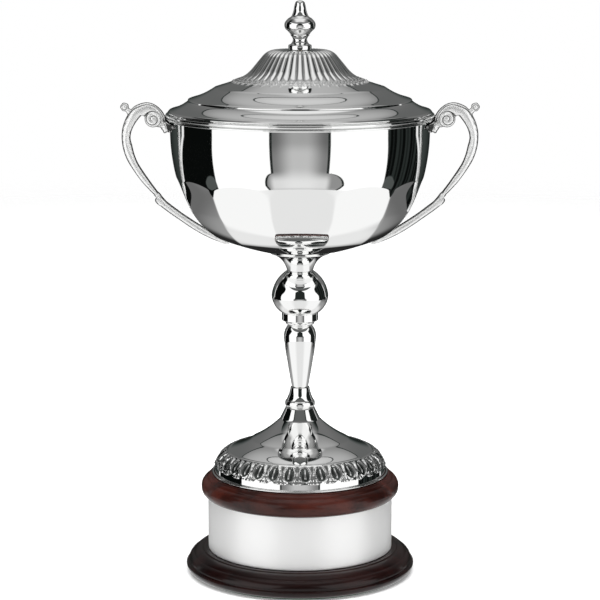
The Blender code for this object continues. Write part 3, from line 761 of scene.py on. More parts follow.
    def near_side(self, g: Graph, side: Socket, turn: Socket, rise: Socket, value: Socket) -> Socket:
        """The lit screens and what stands between them.

        The apron's half width grows at the brim by
        sqrt(1 - ((rise - brim_rise) / brim_tall)^2) times brim_left or brim_right.
        """
        drop = g.maths("MAXIMUM", 0.0, g.minus(self.lean_below, rise))
        inner = g.minus(g.step(rise, -6.0, 8.0, 26.5, 20.0), g.step(rise, 24.0, 31.0, 0.0, 12.0))
        outer = g.plus(g.fused(drop, 0.2, self.screen_edge), g.step(rise, 26.0, 42.0, 0.0, 34.0))
        outer = g.minus(outer, g.step(rise, 2.0, 22.0, 0.0, 14.0))
        top = g.step(turn, 10.0, 80.0, 30.5, 40.0)
        under = g.flip(g.above(rise, top, 1.2))
        rim = g.flip(g.above(rise, g.plus(top, 2.4), 1.2))
        reach = g.flip(g.above(turn, outer, 0.8))
        value = g.blend(g.both(rim, reach), value, 0.02)
        value = g.blend(g.both(under, reach), value, 0.022)
        value = g.blend(g.both(under, reach, g.above(turn, inner, 0.8)), value, 1.08)

        bow = g.power(g.ratio(g.minus(rise, self.brim_rise), self.brim_tall), 2.0)
        bow = g.maths("SQRT", g.maths("MAXIMUM", 0.0, g.minus(1.0, bow)))
        swell = g.fused(g.above(side, 0.0, 1.0), self.brim_right - self.brim_left, self.brim_left)
        half = g.fused(bow, swell, self.apron_half)
        low = g.flip(g.above(rise, self.apron_top, 0.5))
        value = g.blend(g.both(low, g.flip(g.above(turn, half, 0.6))), value, 0.018)
        middle = g.plus(g.step(rise, -13.0, -4.0, 0.52, 0.34), g.step(rise, -30.0, -20.0, 0.27, 0.0))
        flank = g.plus(g.step(rise, -16.0, -4.0, 0.21, 0.13), g.step(rise, -29.0, -22.0, 0.50, 0.0))
        grey = g.blend(g.step(turn, 5.0, 24.0), middle, flank)
        grey = g.blend(g.step(turn, 24.0, 31.0), grey, g.maths("MINIMUM", grey, 0.28))
        grey = g.blend(g.step(rise, -37.0, -33.0, 1.0, 0.0), grey, 0.42)
        inside = g.flip(g.above(turn, g.minus(half, 2.3), 0.8))
        return g.blend(g.both(low, inside), value, grey)

    def lights(self) -> None:
        """Two large soft lamps, kept out of the mirrors, for the table, the wood and the baize."""
        for name, place, size, power in (("overhead", (0.0, -0.3, 2.6), 3.4, 105.0),
                                         ("front", (-1.2, -2.4, 1.6), 1.6, 8.0)):
            data = bpy.data.lights.new(name, "AREA")
            data.shape = "DISK"
            data.size = size
            data.energy = power
            thing = in_scene(name, data)
            thing.location = place
            aim = -np.array(place)
            flat = math.hypot(aim[0], aim[1])
            thing.rotation_euler = (math.atan2(flat, -aim[2]), 0.0, math.atan2(aim[1], aim[0]) - math.pi / 2)
            thing.visible_glossy = False
            thing.visible_camera = False


# ------------------------------------------------------------------ turned work
@dataclass
class Turning:
    """One solid turned piece: its outline, set on the base of its CAD node, with a straight bore."""

    name: str
    node: str
    outline: Outline
    slot: Slot = Slot.POLISHED
    bore: float = BORE
    sides: int = 144
    rows: int = 110
    softness: float = 0.16
    body: str = "root"
    pocket: float = 0.0
    pocket_radius: float = 13.0

    def line(self) -> Array:
        """The closed line to be turned, with a nut's pocket below if it is positive, or above if negative."""
        lift = base_of(self.node)
        outside = eased(bulged(self.outline), self.softness)
        outside[:, 1] += lift
        low, high = outside[0, 1], outside[-1, 1]
        bored = np.array([[self.bore, high], [self.bore, low]])
        if self.pocket > 0:
            floor = low + self.pocket
            bored = np.array([[self.bore, high], [self.bore, floor], [self.pocket_radius, floor],
                              [self.pocket_radius, low]])
        elif self.pocket < 0:
            floor = high + self.pocket
            bored = np.array([[self.pocket_radius, high], [self.pocket_radius, floor], [self.bore, floor],
                              [self.bore, low]])
        return np.concatenate([spread(outside, self.rows, 4.0), bored])

    def build(self, shop: Workshop) -> bpy.types.Object:
        """Turns the piece and dresses it."""
        return shop.put(self.name, turned(self.line(), self.sides), self.slot, (self.node,), self.body)


@dataclass
class Stem:
    """The five turned silver pieces threaded between the foot and the bowl."""

    cone: Outline = ((11.1, 0), (11.3, 0.3), (11.7, 2.2, 0.15), (11.4, 4.4, 0.15), (10.4, 5.6, -0.1), (7.6, 13.8, -0.3),
                     (7.4, 15.3))
    baluster: Outline = ((6.3, 0), (6.5, 0.8), (10.4, 23.4, 0.10), (12.1, 35.0, 0.12), (12.55, 40.6, 0.10),
                         (12.1, 44.2, 0.25), (10.9, 47.2, 0.20), (9.0, 49.8, 0.15))
    collar: Outline = ((10.4, 0), (11.0, 0.7, 0.1), (13.4, 3.0, -0.4), (14.2, 3.4), (14.2, 9.2), (14.6, 9.5))
    knop: Outline = ((14.9, 0), (22.2, 13.2, 1.7), (10.5, 32.6, 2.6))
    trumpet: Outline = ((10.2, 0), (22.9, 13.5, -2.7), (23.5, 14.1))
    soft: float = 0.9
    crisp: float = 0.16

    def build(self, shop: Workshop) -> None:
        """Turns the pieces from the bottom up."""
        for name in ("cone", "baluster", "collar", "knop", "trumpet"):
            softness = self.soft if name == "baluster" else self.crisp
            Turning(f"stem_{name}_turned", f"stem_{name}", getattr(self, name), softness=softness).build(shop)


@dataclass
class Plinth:
    """Moulded wooden base and cap, the band between them with its pins, and the baize below."""

    base: Outline = ((85.4, 0), (90.3, 3.8, 1.1), (90.4, 5.2), (89.9, 5.6), (88.3, 5.7), (88.1, 6.3), (84.4, 13.1, 1.5),
                     (78.6, 16.5, 0.8), (77.4, 16.7), (77.0, 17.4), (74.0, 17.4))
    overhang: float = 7.8
    sides: int = 256
    rows: int = 120
    base_pocket: float = 8.5
    cap_pocket: float = 6.2
    band_thickness: float = 0.6
    band_seam: float = 0.6

    def build(self, shop: Workshop) -> None:
        """Builds the plinth's pieces."""
        self.baize(shop)
        base = Turning("plinth_base_turned", "plinth_base", self.base, Slot.WOOD, sides=self.sides, rows=self.rows,
                       softness=0.25, pocket=self.base_pocket)
        # The base takes the darker, shaded copy of the mahogany: painted shade.
        base.build(shop).data.materials[0] = shop.painted_shade_wood
        self.cap(shop)
        self.band(shop)
        for side in ("left", "right"):
            self.pin(shop, side)
        shop.dress("plinth_drum", Slot.WOOD)

    def baize(self, shop: Workshop) -> None:
        """A disc of baize with a soft cut edge that wavers by a few tenths of a millimetre."""
        _, thick, outer = extent("base_felt")
        outline = ((15.0, thick - 0.3), (15.4, thick - 0.02), (outer - 0.5, thick - 0.02), (outer, thick - 0.5, 0.1),
                   (outer - 0.1, 0.4, 0.1), (outer - 0.6, 0.0), (15.6, 0.0), (15.1, 0.3), (15.0, thick - 0.3))
        line = spread(eased(bulged(outline), 0.1), 90, 2.0)[:-1]
        radius, height, angle = lathe(line, 240)
        radius = radius + 0.12 * np.sin(17 * angle) * np.sin(5 * angle + 1.0)
        shop.put("baize_disc", skinned(from_polar(radius, height, angle), True), Slot.BAIZE, ("base_felt",))

    def cap(self, shop: Workshop) -> None:
        """The rounded moulding over the band, with a small flat and fillet under the foot."""
        bottom, top, reach = extent("plinth_cap")
        seat, low, tall = reach - self.overhang, top_of("plinth_band") + GAP - bottom, top - bottom
        outline = ((49.7, 0.0), (49.7, low), (reach - 3.4, low), (reach - 2.8, low + 0.4, 0.1),
                   (reach, low + 6.0, 0.8), (reach - 4.4, tall - 3.5, 1.6), (seat + 1.3, tall - 1.0, 0.3),
                   (seat + 1.0, tall - 0.6), (seat + 0.4, tall, 0.15), (seat - 2.0, tall))
        Turning("plinth_cap_turned", "plinth_cap", outline, Slot.WOOD, sides=self.sides, rows=self.rows,
                softness=0.22, pocket=-self.cap_pocket).build(shop)

    def band(self, shop: Workshop) -> None:
        """The sheet-metal band, open by its seam at the back, with eased edges.

        The section runs round the sheet while the other parameter runs from one side of the seam
        to the other, and closes with a cap at each end.
        """
        low, high, outer = extent("plinth_band")
        inner = outer - self.band_thickness
        outline = ((outer - 0.12, low), (outer, low + 0.15), (outer, high - 0.15), (outer - 0.12, high), (inner, high),
                   (inner, low), (outer - 0.12, low))
        line = spread(eased(bulged(outline), 0.04, 0.02), 80, 1.0)[:-1]
        half = self.band_seam / 2 / outer
        angle = np.linspace(math.pi / 2 + half, math.pi / 2 + TURN - half, 300)
        ends = np.concatenate([[angle[0]], angle, [angle[-1]]])
        shrink = np.ones(len(ends))
        shrink[[0, -1]] = 0.0
        middle = line.mean(axis=0)
        radius = middle[0] + (line[:, :1] - middle[0]) * shrink[None, :]
        height = middle[1] + (line[:, 1:2] - middle[1]) * shrink[None, :]
        grid = from_polar(radius, height, np.repeat(ends[None], len(line), 0))
        shop.put("band_sheet", skinned(grid, True, False), Slot.BAND, ("plinth_band",))

    def pin(self, shop: Workshop, side: str) -> None:
        """A domed pin driven in through the band: a head and shank turned round its own axis along Y."""
        node = f"band_pin_{side}"
        low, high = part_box(node)
        low, high = np.array(low) / MM, np.array(high) / MM
        head = (high[2] - low[2]) / 2
        outline = ((0.0, 0.0), (0.25, 0.5), (0.7, 1.2), (0.7, 6.9), (head, 7.0), (head, 7.15), (head * 0.6, 7.7, 0.1),
                   (0.0, high[1] - low[1], 0.06))
        line = spread(eased(bulged(outline, 0.03), 0.05, 0.03), 40, 1.0)
        solid = turned(line, 28, False)
        x, y, z = solid.points.T
        centre = (low + high) / 2
        solid.points = np.stack([centre[0] + x, low[1] + z, centre[2] + y], axis=1)
        shop.put(node + "_turned", solid.oriented(), Slot.BAND, (node,))


# ------------------------------------------------------------------ foot
@dataclass
class Foot:
    """Spun foot with a chased border of spoon-shaped lobes, and the wire round its edge."""

    lobes: int = 32
    per_lobe: int = 18
    phase: float = -86.4
    outline: Outline = ((67.6, 0), (67.6, 6.6), (67.4, 7.0), (66.6, 8.2, 0.05), (56.9, 18.3, 1.5), (56.0, 18.9),
                        (55.4, 18.8), (38.3, 27.0, -0.8), (15.8, 43.2, -1.1), (11.1, 52.9))
    border_low: float = 6.9
    border_top: float = 18.4
    wall: float = 1.6

    def relief(self, radius: Array, height: Array, angle: Array) -> tuple[Array, Array]:
        """Height of the chasing over the spun form, and how hollow it is.

        Across is the place within one lobe from -1/2 to 1/2, and down runs from the border's top (0)
        to its foot (1). A lobe is a U whose half width closes as the root of 1 - t^2; a ridge follows
        its edge, the inside sinks as a bowl with a rib down its middle, and pointed leaves stand
        between the lobes.
        """
        across = ((angle - math.radians(self.phase)) * self.lobes / TURN + 0.5) % 1.0 - 0.5
        down = (self.border_top - height) / (self.border_top - self.border_low)
        inside = ((down > -0.05) & (down < 1.05) & (radius > 50)).astype(float)
        close = np.clip((down - 0.50) / 0.38, 0.0, 1.0)
        half = 0.14 + 0.20 * ramp(down, -0.05, 0.38)
        half = np.maximum(half * np.sqrt(np.maximum(1 - close**2, 0.0)), 1e-3)
        edge = np.abs(across) - half
        within = ramp(-edge, 0.0, 0.07) * window(down, 0.03, 0.12, 0.82, 0.88)
        bowl = within * (1 - 0.35 * np.clip(np.abs(across) / half, 0, 1) ** 2)
        ridge = hump(edge, 0.035, 0.04) * window(down, 0.0, 0.12, 0.90, 0.98)
        rib = hump(across, 0.0, 0.045) * window(down, 0.06, 0.2, 0.62, 0.80)
        beside = 0.5 - np.abs(across)
        leaf_half = 0.02 + 0.20 * np.clip((down - 0.45) / 0.55, 0, 1)
        leaf = ramp(leaf_half - beside, -0.02, 0.04) * ramp(down, 0.45, 0.55)
        vein = hump(beside, 0.0, 0.028) * ramp(down, 0.52, 0.62)
        gutter = hump(beside, leaf_half + 0.035, 0.03) * ramp(down, 0.50, 0.62)
        wedge = ramp(0.13 * (1 - down / 0.42) - beside, -0.03, 0.03)
        wedge = wedge * window(down, 0.02, 0.08, 0.36, 0.44)
        bead = hump(down, 0.0, 0.04)
        rise = (-1.05 * bowl + 0.60 * ridge + 0.75 * rib + 0.45 * leaf - 0.45 * vein - 0.50 * gutter - 0.5 * wedge
                + 0.35 * bead)
        hollow = np.clip(bowl * (1 - 1.1 * rib) - 0.9 * ridge, 0, 1) + 0.8 * gutter + 0.7 * vein + 0.8 * wedge
        return rise * inside, np.clip(hollow, 0, 1) * inside

    def build(self, shop: Workshop) -> None:
        """Spins the foot, chases its border, and sets the wire."""
        lift = base_of("foot_shell")
        line = eased(bulged(self.outline), 0.18)
        focus = 1.0 + 3.2 * ((line[:, 1] > self.border_low - 1) & (line[:, 1] < self.border_top + 1))
        outer = spread(line, 128, 3.0, focus)
        normal = sideways(outer)
        radius, height, angle = lathe(outer, self.lobes * self.per_lobe)
        rise, hollow = self.relief(radius, height, angle)
        radius = radius + normal[:, :1] * rise
        height = height + normal[:, 1:2] * rise
        inner = spread(eased(bulged(self.outline), 0.6), 26, 3.0)
        inner = inner - sideways(inner) * self.wall
        keep = inner[:, 0] > 7.5
        inner = inner[keep][::-1]
        inner[-1] = (self.outline[0][0] - self.wall, 0.0)
        ceiling = inner[0, 1]
        bore = np.array([[BORE, outer[-1, 1]], [BORE, ceiling]])
        inner = np.concatenate([bore, inner])
        back = lathe(inner, self.lobes * self.per_lobe)
        grids = [np.concatenate([a, b]) for a, b in zip((radius, height, angle), back)]
        grids[1] = grids[1] + lift
        relief = np.concatenate([hollow, np.zeros_like(back[0])])
        solid = skinned(from_polar(*grids), True)
        solid.hollow = relief.ravel()
        shop.put("foot_chased", solid, Slot.POLISHED, ("foot_shell",))
        self.wire(shop)

    def wire(self, shop: Workshop) -> None:
        """A round wire: a circle turned round Z."""
        low, high, reach = extent("foot_wire")
        size = (high - low) / 2
        turn = around(20)
        centre = reach - size
        line = np.stack([centre + size * np.cos(turn), low + size + size * np.sin(turn)], axis=1)
        shop.put("foot_wire_round", turned(line, 288), Slot.POLISHED, ("foot_wire",))


# ------------------------------------------------------------------ bowl
@dataclass
class Bowl:
    """Spun bowl with twelve arched panels, its mouth moulding, and the domed nut inside."""

    wall: float = 1.2
    panels: int = 12
    per_panel: int = 30
    swing: float = 1.3
    top_share: float = 0.56
    arch: float = 4.5
    flatness: float = 0.65
    ease: float = 7.0
    outline: Outline = ((22.0, 0.4), (64.0, 12.5, 1.3), (86.5, 35.0, 2.2), (96.7, 63.0, 0.9), (100.3, 96.0, 0.9),
                        (100.3, 108.4))
    moulding: Outline = ((100.6, 0.0), (102.1, 0.0), (103.1, 0.9, 0.35), (102.7, 1.7, 0.25), (102.4, 1.9), (102.4, 2.3),
                         (103.4, 3.0, 0.25), (103.6, 3.8, 0.2), (103.2, 4.8, 0.2), (102.4, 5.0), (100.6, 5.0))

    def panelled(self, radius: Array, height: Array, angle: Array) -> Array:
        """The radius with the panels sunk into it.

        Off is the angle from the middle of the panel. The arched top falls as its square, and the
        radius shrinks by flatness * (1 - cos(half) / cos(off)) * (1 - exp(-depth / ease)), which is
        a flat chord when flatness is 1 and leaves the ridges on the round form.
        """
        half = math.pi / self.panels
        off = (angle - math.radians(self.swing) + half) % (2 * half) - half
        tall = self.outline[-1][1]
        top = self.top_share * tall - self.arch * (off / half) ** 2
        depth = np.maximum(0.0, top - height)
        sunk = self.flatness * (1 - math.cos(half) / np.cos(off)) * (1 - np.exp(-depth / self.ease))
        return radius * (1 - sunk * (radius > 24.0))

    def build(self, shop: Workshop) -> None:
        """Spins the bowl and its moulding, and sets the washer and nut."""
        lift = base_of("bowl_shell")
        line = eased(bulged(self.outline), 0.3)
        share = line[:, 1] / self.outline[-1][1]
        focus = 0.6 + 2.6 * ((share > 0.42) & (share < 0.60))
        outer = spread(line, 150, 3.0, focus)
        inner = spread(line, 62, 3.0, focus)
        inner = inner - sideways(inner) * self.wall
        inner[:, 1] = np.maximum(inner[:, 1], self.wall)
        inner[-1, 1] = outer[-1, 1] - 0.1
        lip = np.array([[outer[-1, 0] - 0.15, outer[-1, 1]], [inner[-1, 0] + 0.15, outer[-1, 1]]])
        outer[-1, 1] -= 0.1
        seat, back = [[BORE, 0.4], [12.0, 0.4]], [[12.0, self.wall + 0.4], [BORE, self.wall + 0.4]]
        loop = np.concatenate([seat, outer, lip, inner[::-1], back])
        loop[:, 1] = np.where(loop[:, 0] < 12.5, loop[:, 1] - 0.4, loop[:, 1])
        radius, height, angle = lathe(loop, self.panels * self.per_panel)
        radius = self.panelled(radius, height, angle)
        solid = skinned(from_polar(radius, height + lift, angle), True)
        shop.put("bowl_panelled", solid, Slot.POLISHED, ("bowl_shell",))
        self.mouth(shop)
        self.fixing(shop)

    def mouth(self, shop: Workshop) -> None:
        """The reeded moulding: two beads with a fine groove between, turned round Z."""
        line = spread(eased(bulged(self.moulding, 0.04), 0.08, 0.04), 96, 1.5)
        line[:, 1] += base_of("bowl_rim")
        hollow = hump(line[:, 1] - base_of("bowl_rim"), 2.1, 0.25) * (line[:, 0] > 102)
        solid = turned(line, 400)
        solid.hollow = np.repeat(hollow * 0.8, 400)
        shop.put("mouth_moulding", solid, Slot.POLISHED, ("bowl_rim",))

    def fixing(self, shop: Workshop) -> None:
        """Washer with eased edges, and a nut whose lower part is six-sided under a dome."""
        low, high, reach = extent("bowl_washer")
        outline = ((BORE, low), (reach - 0.3, low), (reach, low + 0.3, 0.08), (reach, high - 0.4),
                   (reach - 0.6, high, 0.1), (4.0, high), (BORE, high - 0.2))
        washer = turned(spread(bulged(outline), 60, 1.0), 96)
        shop.put("bowl_washer_turned", washer, Slot.POLISHED, ("bowl_washer",))
        low, high, reach = extent("bowl_nut")
        outline = ((BORE, high - low - 5.4), (BORE, 0.0), (reach - 0.2, 0.0), (reach, 0.3), (reach, 3.6),
                   (reach - 0.6, 4.4, 0.1), (reach - 1.6, 4.8), (0.0, high - low, 2.3))
        line = spread(np.concatenate([[[0.0, high - low - 4.6]], eased(bulged(outline), 0.08)]), 110, 1.5)
        radius, height, angle = lathe(line, 192)
        sector = math.pi / 3
        flat = math.cos(sector / 2) / np.cos((angle + sector / 2) % sector - sector / 2)
        share = ramp(radius, 5.2, 6.4) * (1 - ramp(height, 3.9, 4.6))
        radius = radius * (1 - share * (1 - flat) * 0.9)
        nut = skinned(from_polar(radius, height + low, angle))
        shop.put("bowl_nut_domed", nut, Slot.POLISHED, ("bowl_nut",))


# ------------------------------------------------------------------ lid
@dataclass
class Lid:
    """Spun lid with a fluted crown that ends in curled leaves, its locating ring, and the finial."""

    flutes: int = 44
    per_flute: int = 10
    wall: float = 1.2
    flute_end: float = 46.5
    leaf_end: float = 52.5
    outline: Outline = ((101.5, 0.0), (101.9, 0.4, 0.1), (101.9, 1.1, 0.1), (101.3, 1.6), (101.0, 2.2, -0.1),
                        (86.7, 9.0, -0.9), (86.5, 9.3), (86.2, 10.5, 0.12), (85.2, 10.9), (66.0, 19.6, -1.0),
                        (50.0, 24.7), (36.0, 34.1, -1.3), (28.0, 43.8), (20.0, 48.0, 0.8), (8.0, 48.0))
    finial: Outline = ((8.7, 0), (8.9, 0.5, 0.1), (8.9, 2.4), (8.3, 3.9, 0.3), (6.6, 5.0, -0.2), (5.7, 6.4, -0.1),
                       (5.5, 8.4, -0.15), (6.2, 10.0), (6.9, 10.6, 0.1), (7.2, 11.6, 0.1), (9.7, 14.6, -0.1),
                       (11.9, 18.4, 0.6), (10.9, 21.8, 0.4), (8.2, 24.4, 0.2), (5.9, 26.9, -0.4), (4.7, 31.0, -0.1),
                       (3.9, 34.8, 0.1), (2.6, 36.9, 0.35), (0.0, 37.4, 0.2))

    def relief(self, radius: Array, angle: Array) -> tuple[Array, Array]:
        """Height of the flutes and leaves over the spun form, and how hollow they are.

        Across is the place within one flute from -1/2 to 1/2. A flute is a round bar,
        1 - |2 across|^2.5, that swells with the radius and ends in a half circle; the leaves are
        thin plates whose edge wavers as a sum of cosines, cut by veins that fan out from the flute.
        """
        across = (angle * self.flutes / TURN + 0.5) % 1.0 - 0.5
        swell = 0.10 + 0.68 * ramp(radius, 9.0, 32.0)
        tip = self.flute_end - 3.2 * (1 - np.sqrt(np.maximum(0.0, 1 - (1.9 * across) ** 2)))
        live = 1 - ramp(radius, tip - 1.2, tip + 0.4)
        bar = (1 - np.abs(2 * across) ** 2.5) * live
        leaf_edge = (self.leaf_end - 2.4 + 1.5 * np.cos(TURN * across) + 1.0 * np.cos(3 * TURN * across)
                     + 0.6 * np.sin(7 * TURN * across + radius * 0.8))
        plate = (1 - ramp(radius, leaf_edge - 0.5, leaf_edge + 0.25)) * ramp(radius, tip - 0.6, tip + 0.6)
        veins = np.cos(5 * TURN * across + 2.2 * np.sin(radius * 1.1)) * plate
        curl = np.sin(radius * 1.9 + 4.0 * np.cos(TURN * across)) * plate
        rise = swell * (bar - 0.45 * live) + 0.50 * plate + 0.24 * veins + 0.24 * curl
        groove = hump(np.abs(across), 0.5, 0.07) * live * ramp(radius, 10.0, 18.0)
        beside = hump(radius, tip + 0.7, 0.6) * plate
        hollow = (0.95 * groove + 0.30 * beside
                  + (0.40 * np.clip(-veins, 0, 1) + 0.25 * np.clip(-curl, 0, 1)) * plate)
        return rise * ramp(radius, 9.0, 11.0), np.clip(hollow, 0, 1)

    def build(self, shop: Workshop) -> None:
        """Spins and chases the lid, and sets the ring and the finial."""
        lift = base_of("lid_shell")
        line = eased(bulged(self.outline), 0.14)
        focus = 0.55 + 2.0 * (line[:, 0] < 52.0)
        outer = spread(line, 150, 2.5, focus)
        normal = sideways(outer)
        columns = self.flutes * self.per_flute
        radius, height, angle = lathe(outer, columns)
        rise, hollow = self.relief(radius, angle)
        radius = radius + normal[:, :1] * rise
        height = height + normal[:, 1:2] * rise
        rough = spread(eased(bulged(self.outline[3:]), 0.8), 44, 2.5)
        inner = rough - sideways(rough) * self.wall
        inner[:, 1] = np.clip(inner[:, 1], 0.0, self.outline[-1][1] - self.wall)
        inner[0] = (98.8, 0.0)
        inner = np.concatenate([inner, [[2.2, inner[-1, 1]], [2.2, self.outline[-1][1]]]])[::-1]
        back = lathe(inner, columns)
        grids = [np.concatenate([a, b]) for a, b in zip((radius, height, angle), back)]
        relief = np.concatenate([hollow, np.zeros_like(back[0])])
        solid = skinned(from_polar(grids[0], grids[1] + lift, grids[2]), True)
        solid.hollow = relief.ravel()
        shop.put("lid_chased", solid, Slot.POLISHED, ("lid_shell",), "lid")
        self.ring(shop)
        Turning("finial_turned", "finial", self.finial, bore=0.0, rows=150, body="lid").build(shop)

    def ring(self, shop: Workshop) -> None:
        """The ring that drops into the bowl, flared and eased at its lower edge."""
        low, high, outer = extent("lid_bezel")
        outline = ((outer, high), (outer - 0.8, high), (outer - 0.8, low + 1.0), (outer - 1.4, low + 0.1, -0.1),
                   (outer - 1.1, low), (outer - 0.5, low + 0.2, 0.1), (outer, low + 1.2, 0.1), (outer, high))
        line = spread(eased(bulged(outline, 0.05), 0.06, 0.04), 60, 1.0)[:-1]
        shop.put("lid_ring", turned(line, 288), Slot.POLISHED, ("lid_bezel",), "lid")


# ------------------------------------------------------------------ handles
class Side(Enum):
    """Which handle: the factor on X."""

    LEFT = -1
    RIGHT = 1


@dataclass
class Handle:
    """Cast handle: a leafy arm that coils into a volute over a mount on the bowl's wall."""

    side: Side
    depth: float = 4.3
    voxel: float = 0.40
    volute: Pair = (113.4, 359.4)
    volute_radius: float = 6.5
    pitch: float = 3.5
    bud: Pair = (135.2, 368.6)
    outer: tuple[Pair, ...] = (
        (104.6, 354.6), (103.9, 359.6), (105.6, 364.4), (109.7, 368.9), (114.4, 371.5), (119.4, 372.1), (124.4, 370.8),
        (128.9, 368.2), (133.1, 362.5), (136.4, 355.1), (137.8, 347.3), (137.2, 338.3), (134.8, 329.9), (131.1, 322.8),
        (123.7, 312.0), (117.2, 304.6), (112.6, 300.0), (111.0, 298.6), (112.2, 296.4), (110.9, 294.0), (108.2, 292.0),
        (101.7, 286.9), (88.4, 277.1), (75.1, 269.0), (61.7, 263.0), (55.0, 261.5))
    inner: tuple[Pair, ...] = (
        (110.6, 355.4), (110.8, 358.4), (111.4, 360.6), (112.8, 362.2), (115.0, 363.0), (117.6, 362.6), (119.8, 361.4),
        (122.4, 361.8), (127.2, 355.8), (130.0, 350.2), (131.0, 344.6), (129.7, 338.6), (127.9, 331.2), (124.7, 323.8),
        (116.7, 311.6), (111.0, 303.8), (105.4, 296.6), (101.8, 293.3), (93.6, 287.4), (81.2, 279.2), (68.9, 271.4),
        (59.6, 265.0), (54.8, 262.6))

    def arm(self, stations: int = 300, ring: int = 40) -> Solid:
        """The arm: a superellipse, |cos|^0.9 by |sin|^0.75, spanned between the inner and outer lines."""
        outer = curve_through(np.array(self.outer), stations)
        inner = curve_through(np.array(self.inner), stations)
        middle, reach = (outer + inner) / 2, (outer - inner) / 2
        width = np.hypot(*reach.T)
        deep = self.depth * np.minimum(1.0, 0.25 + width / 4.0)
        deep *= np.minimum(1.0, 0.15 + (stations - 1 - np.arange(stations)) / 30.0)
        turn = around(ring)
        c = np.sign(np.cos(turn)) * np.abs(np.cos(turn)) ** 0.9
        s = np.sign(np.sin(turn)) * np.abs(np.sin(turn)) ** 0.75
        x = middle[:, :1] + reach[:, :1] * c
        z = middle[:, 1:2] + reach[:, 1:2] * c
        y = deep[:, None] * s
        grid = np.stack([x, y, z], axis=-1)
        ends = np.repeat(grid[[0, -1]].mean(axis=1)[:, None, :], ring, axis=1)
        grid = np.concatenate([ends[:1], grid, ends[1:]])
        return skinned(grid)

    def disc(self, x: float, z: float, radius: float, half: float, crown: float) -> Solid:
        """A rounded disc on an axis along Y: the outline is a superellipse, crowned at its middle."""
        t = np.linspace(-math.pi / 2, math.pi / 2, 41)
        rho = radius * np.abs(np.cos(t)) ** 0.45
        depth = np.sign(np.sin(t)) * np.abs(np.sin(t)) ** 0.7 * (half + crown * (1 - rho / radius))
        turn = around(64)
        grid = np.stack([x + rho[:, None] * np.cos(turn), np.repeat(depth[:, None], 64, 1),
                         z + rho[:, None] * np.sin(turn)], axis=-1)
        return skinned(grid)

    def ball(self, x: float, z: float, size: Triple, petals: float = 0.0) -> Solid:
        """A ball stretched to size, its radius waved by 1 + petals * cos(5 a)."""
        t = np.linspace(-math.pi / 2, math.pi / 2, 33)[:, None]
        a = around(48)[None, :]
        wave = 1 + petals * np.cos(5 * a) * np.cos(t)
        grid = np.stack([x + size[0] * np.cos(t) * np.cos(a) * wave, size[1] * np.sin(t) + 0 * a,
                         z + size[2] * np.cos(t) * np.sin(a) * wave], axis=-1)
        return skinned(grid)

    def bar(self, start: Pair, end: Pair, first: float, last: float,
            deep: float) -> Solid:
        """A short bar whose radius runs from first to last, waisted in the middle."""
        t = np.linspace(0, 1, 24)
        line = np.array(start) + (np.array(end) - np.array(start)) * t[:, None]
        size = first + (last - first) * t - 0.25 * np.sin(math.pi * t)
        size = np.concatenate([[0.01], size, [0.01]])
        line = np.concatenate([line[:1], line, line[-1:]])
        way = np.subtract(end, start) / np.hypot(*np.subtract(end, start))
        turn = around(28)
        grid = np.stack([line[:, :1] + way[1] * size[:, None] * np.cos(turn), deep * size[:, None] * np.sin(turn),
                         line[:, 1:2] - way[0] * size[:, None] * np.cos(turn)], axis=-1)
        return skinned(grid)

    def mount(self) -> Solid:
        """The leaf that hugs the bowl: half heights fall off with the angle and are scalloped.

        The inner side keeps to the wall below and to the moulding above, and the outer side
        swells between the leaf's edges as 1 - |2h - 1|^3, with a rib along each lobe.
        """
        columns, rows = 120, 28
        a = np.linspace(-1.0, 1.0, columns)[:, None]
        h = np.linspace(0.0, 1.0, rows)[None, :]
        size = np.abs(a)
        scallop = 0.5 + 0.5 * np.cos(TURN * 3.5 * size)
        high = 355.2 + (6.2 * (1 - size**1.6) + 0.5) * (0.80 + 0.30 * scallop)
        low = 355.2 - (5.8 * (1 - size**1.1) + 0.4) * (0.76 + 0.30 * scallop)
        z = low + (high - low) * h
        angle = np.radians(20.0) * a + 0 * z
        wall = 100.75 + 3.3 * ramp(z, 357.0, 358.8)
        ribs = 1.5 + 0.35 * np.cos(TURN * 3.5 * size) + 0.25 * np.cos(TURN * 2 * h)
        swell = 0.5 + ribs * (1 - np.abs(2 * h - 1) ** 3)
        swell = swell * (1 - size**6) + 0.02
        outside = np.stack([(wall + swell) * np.cos(angle), (wall + swell) * np.sin(angle), z], axis=-1)
        inside = np.stack([wall * np.cos(angle), wall * np.sin(angle), z], axis=-1)
        grid = np.concatenate([outside, inside[:, ::-1]], axis=1)
        cap = grid.mean(axis=1, keepdims=True).repeat(grid.shape[1], axis=1)
        grid = np.concatenate([cap[:1], grid, cap[-1:]])
        return skinned(grid)

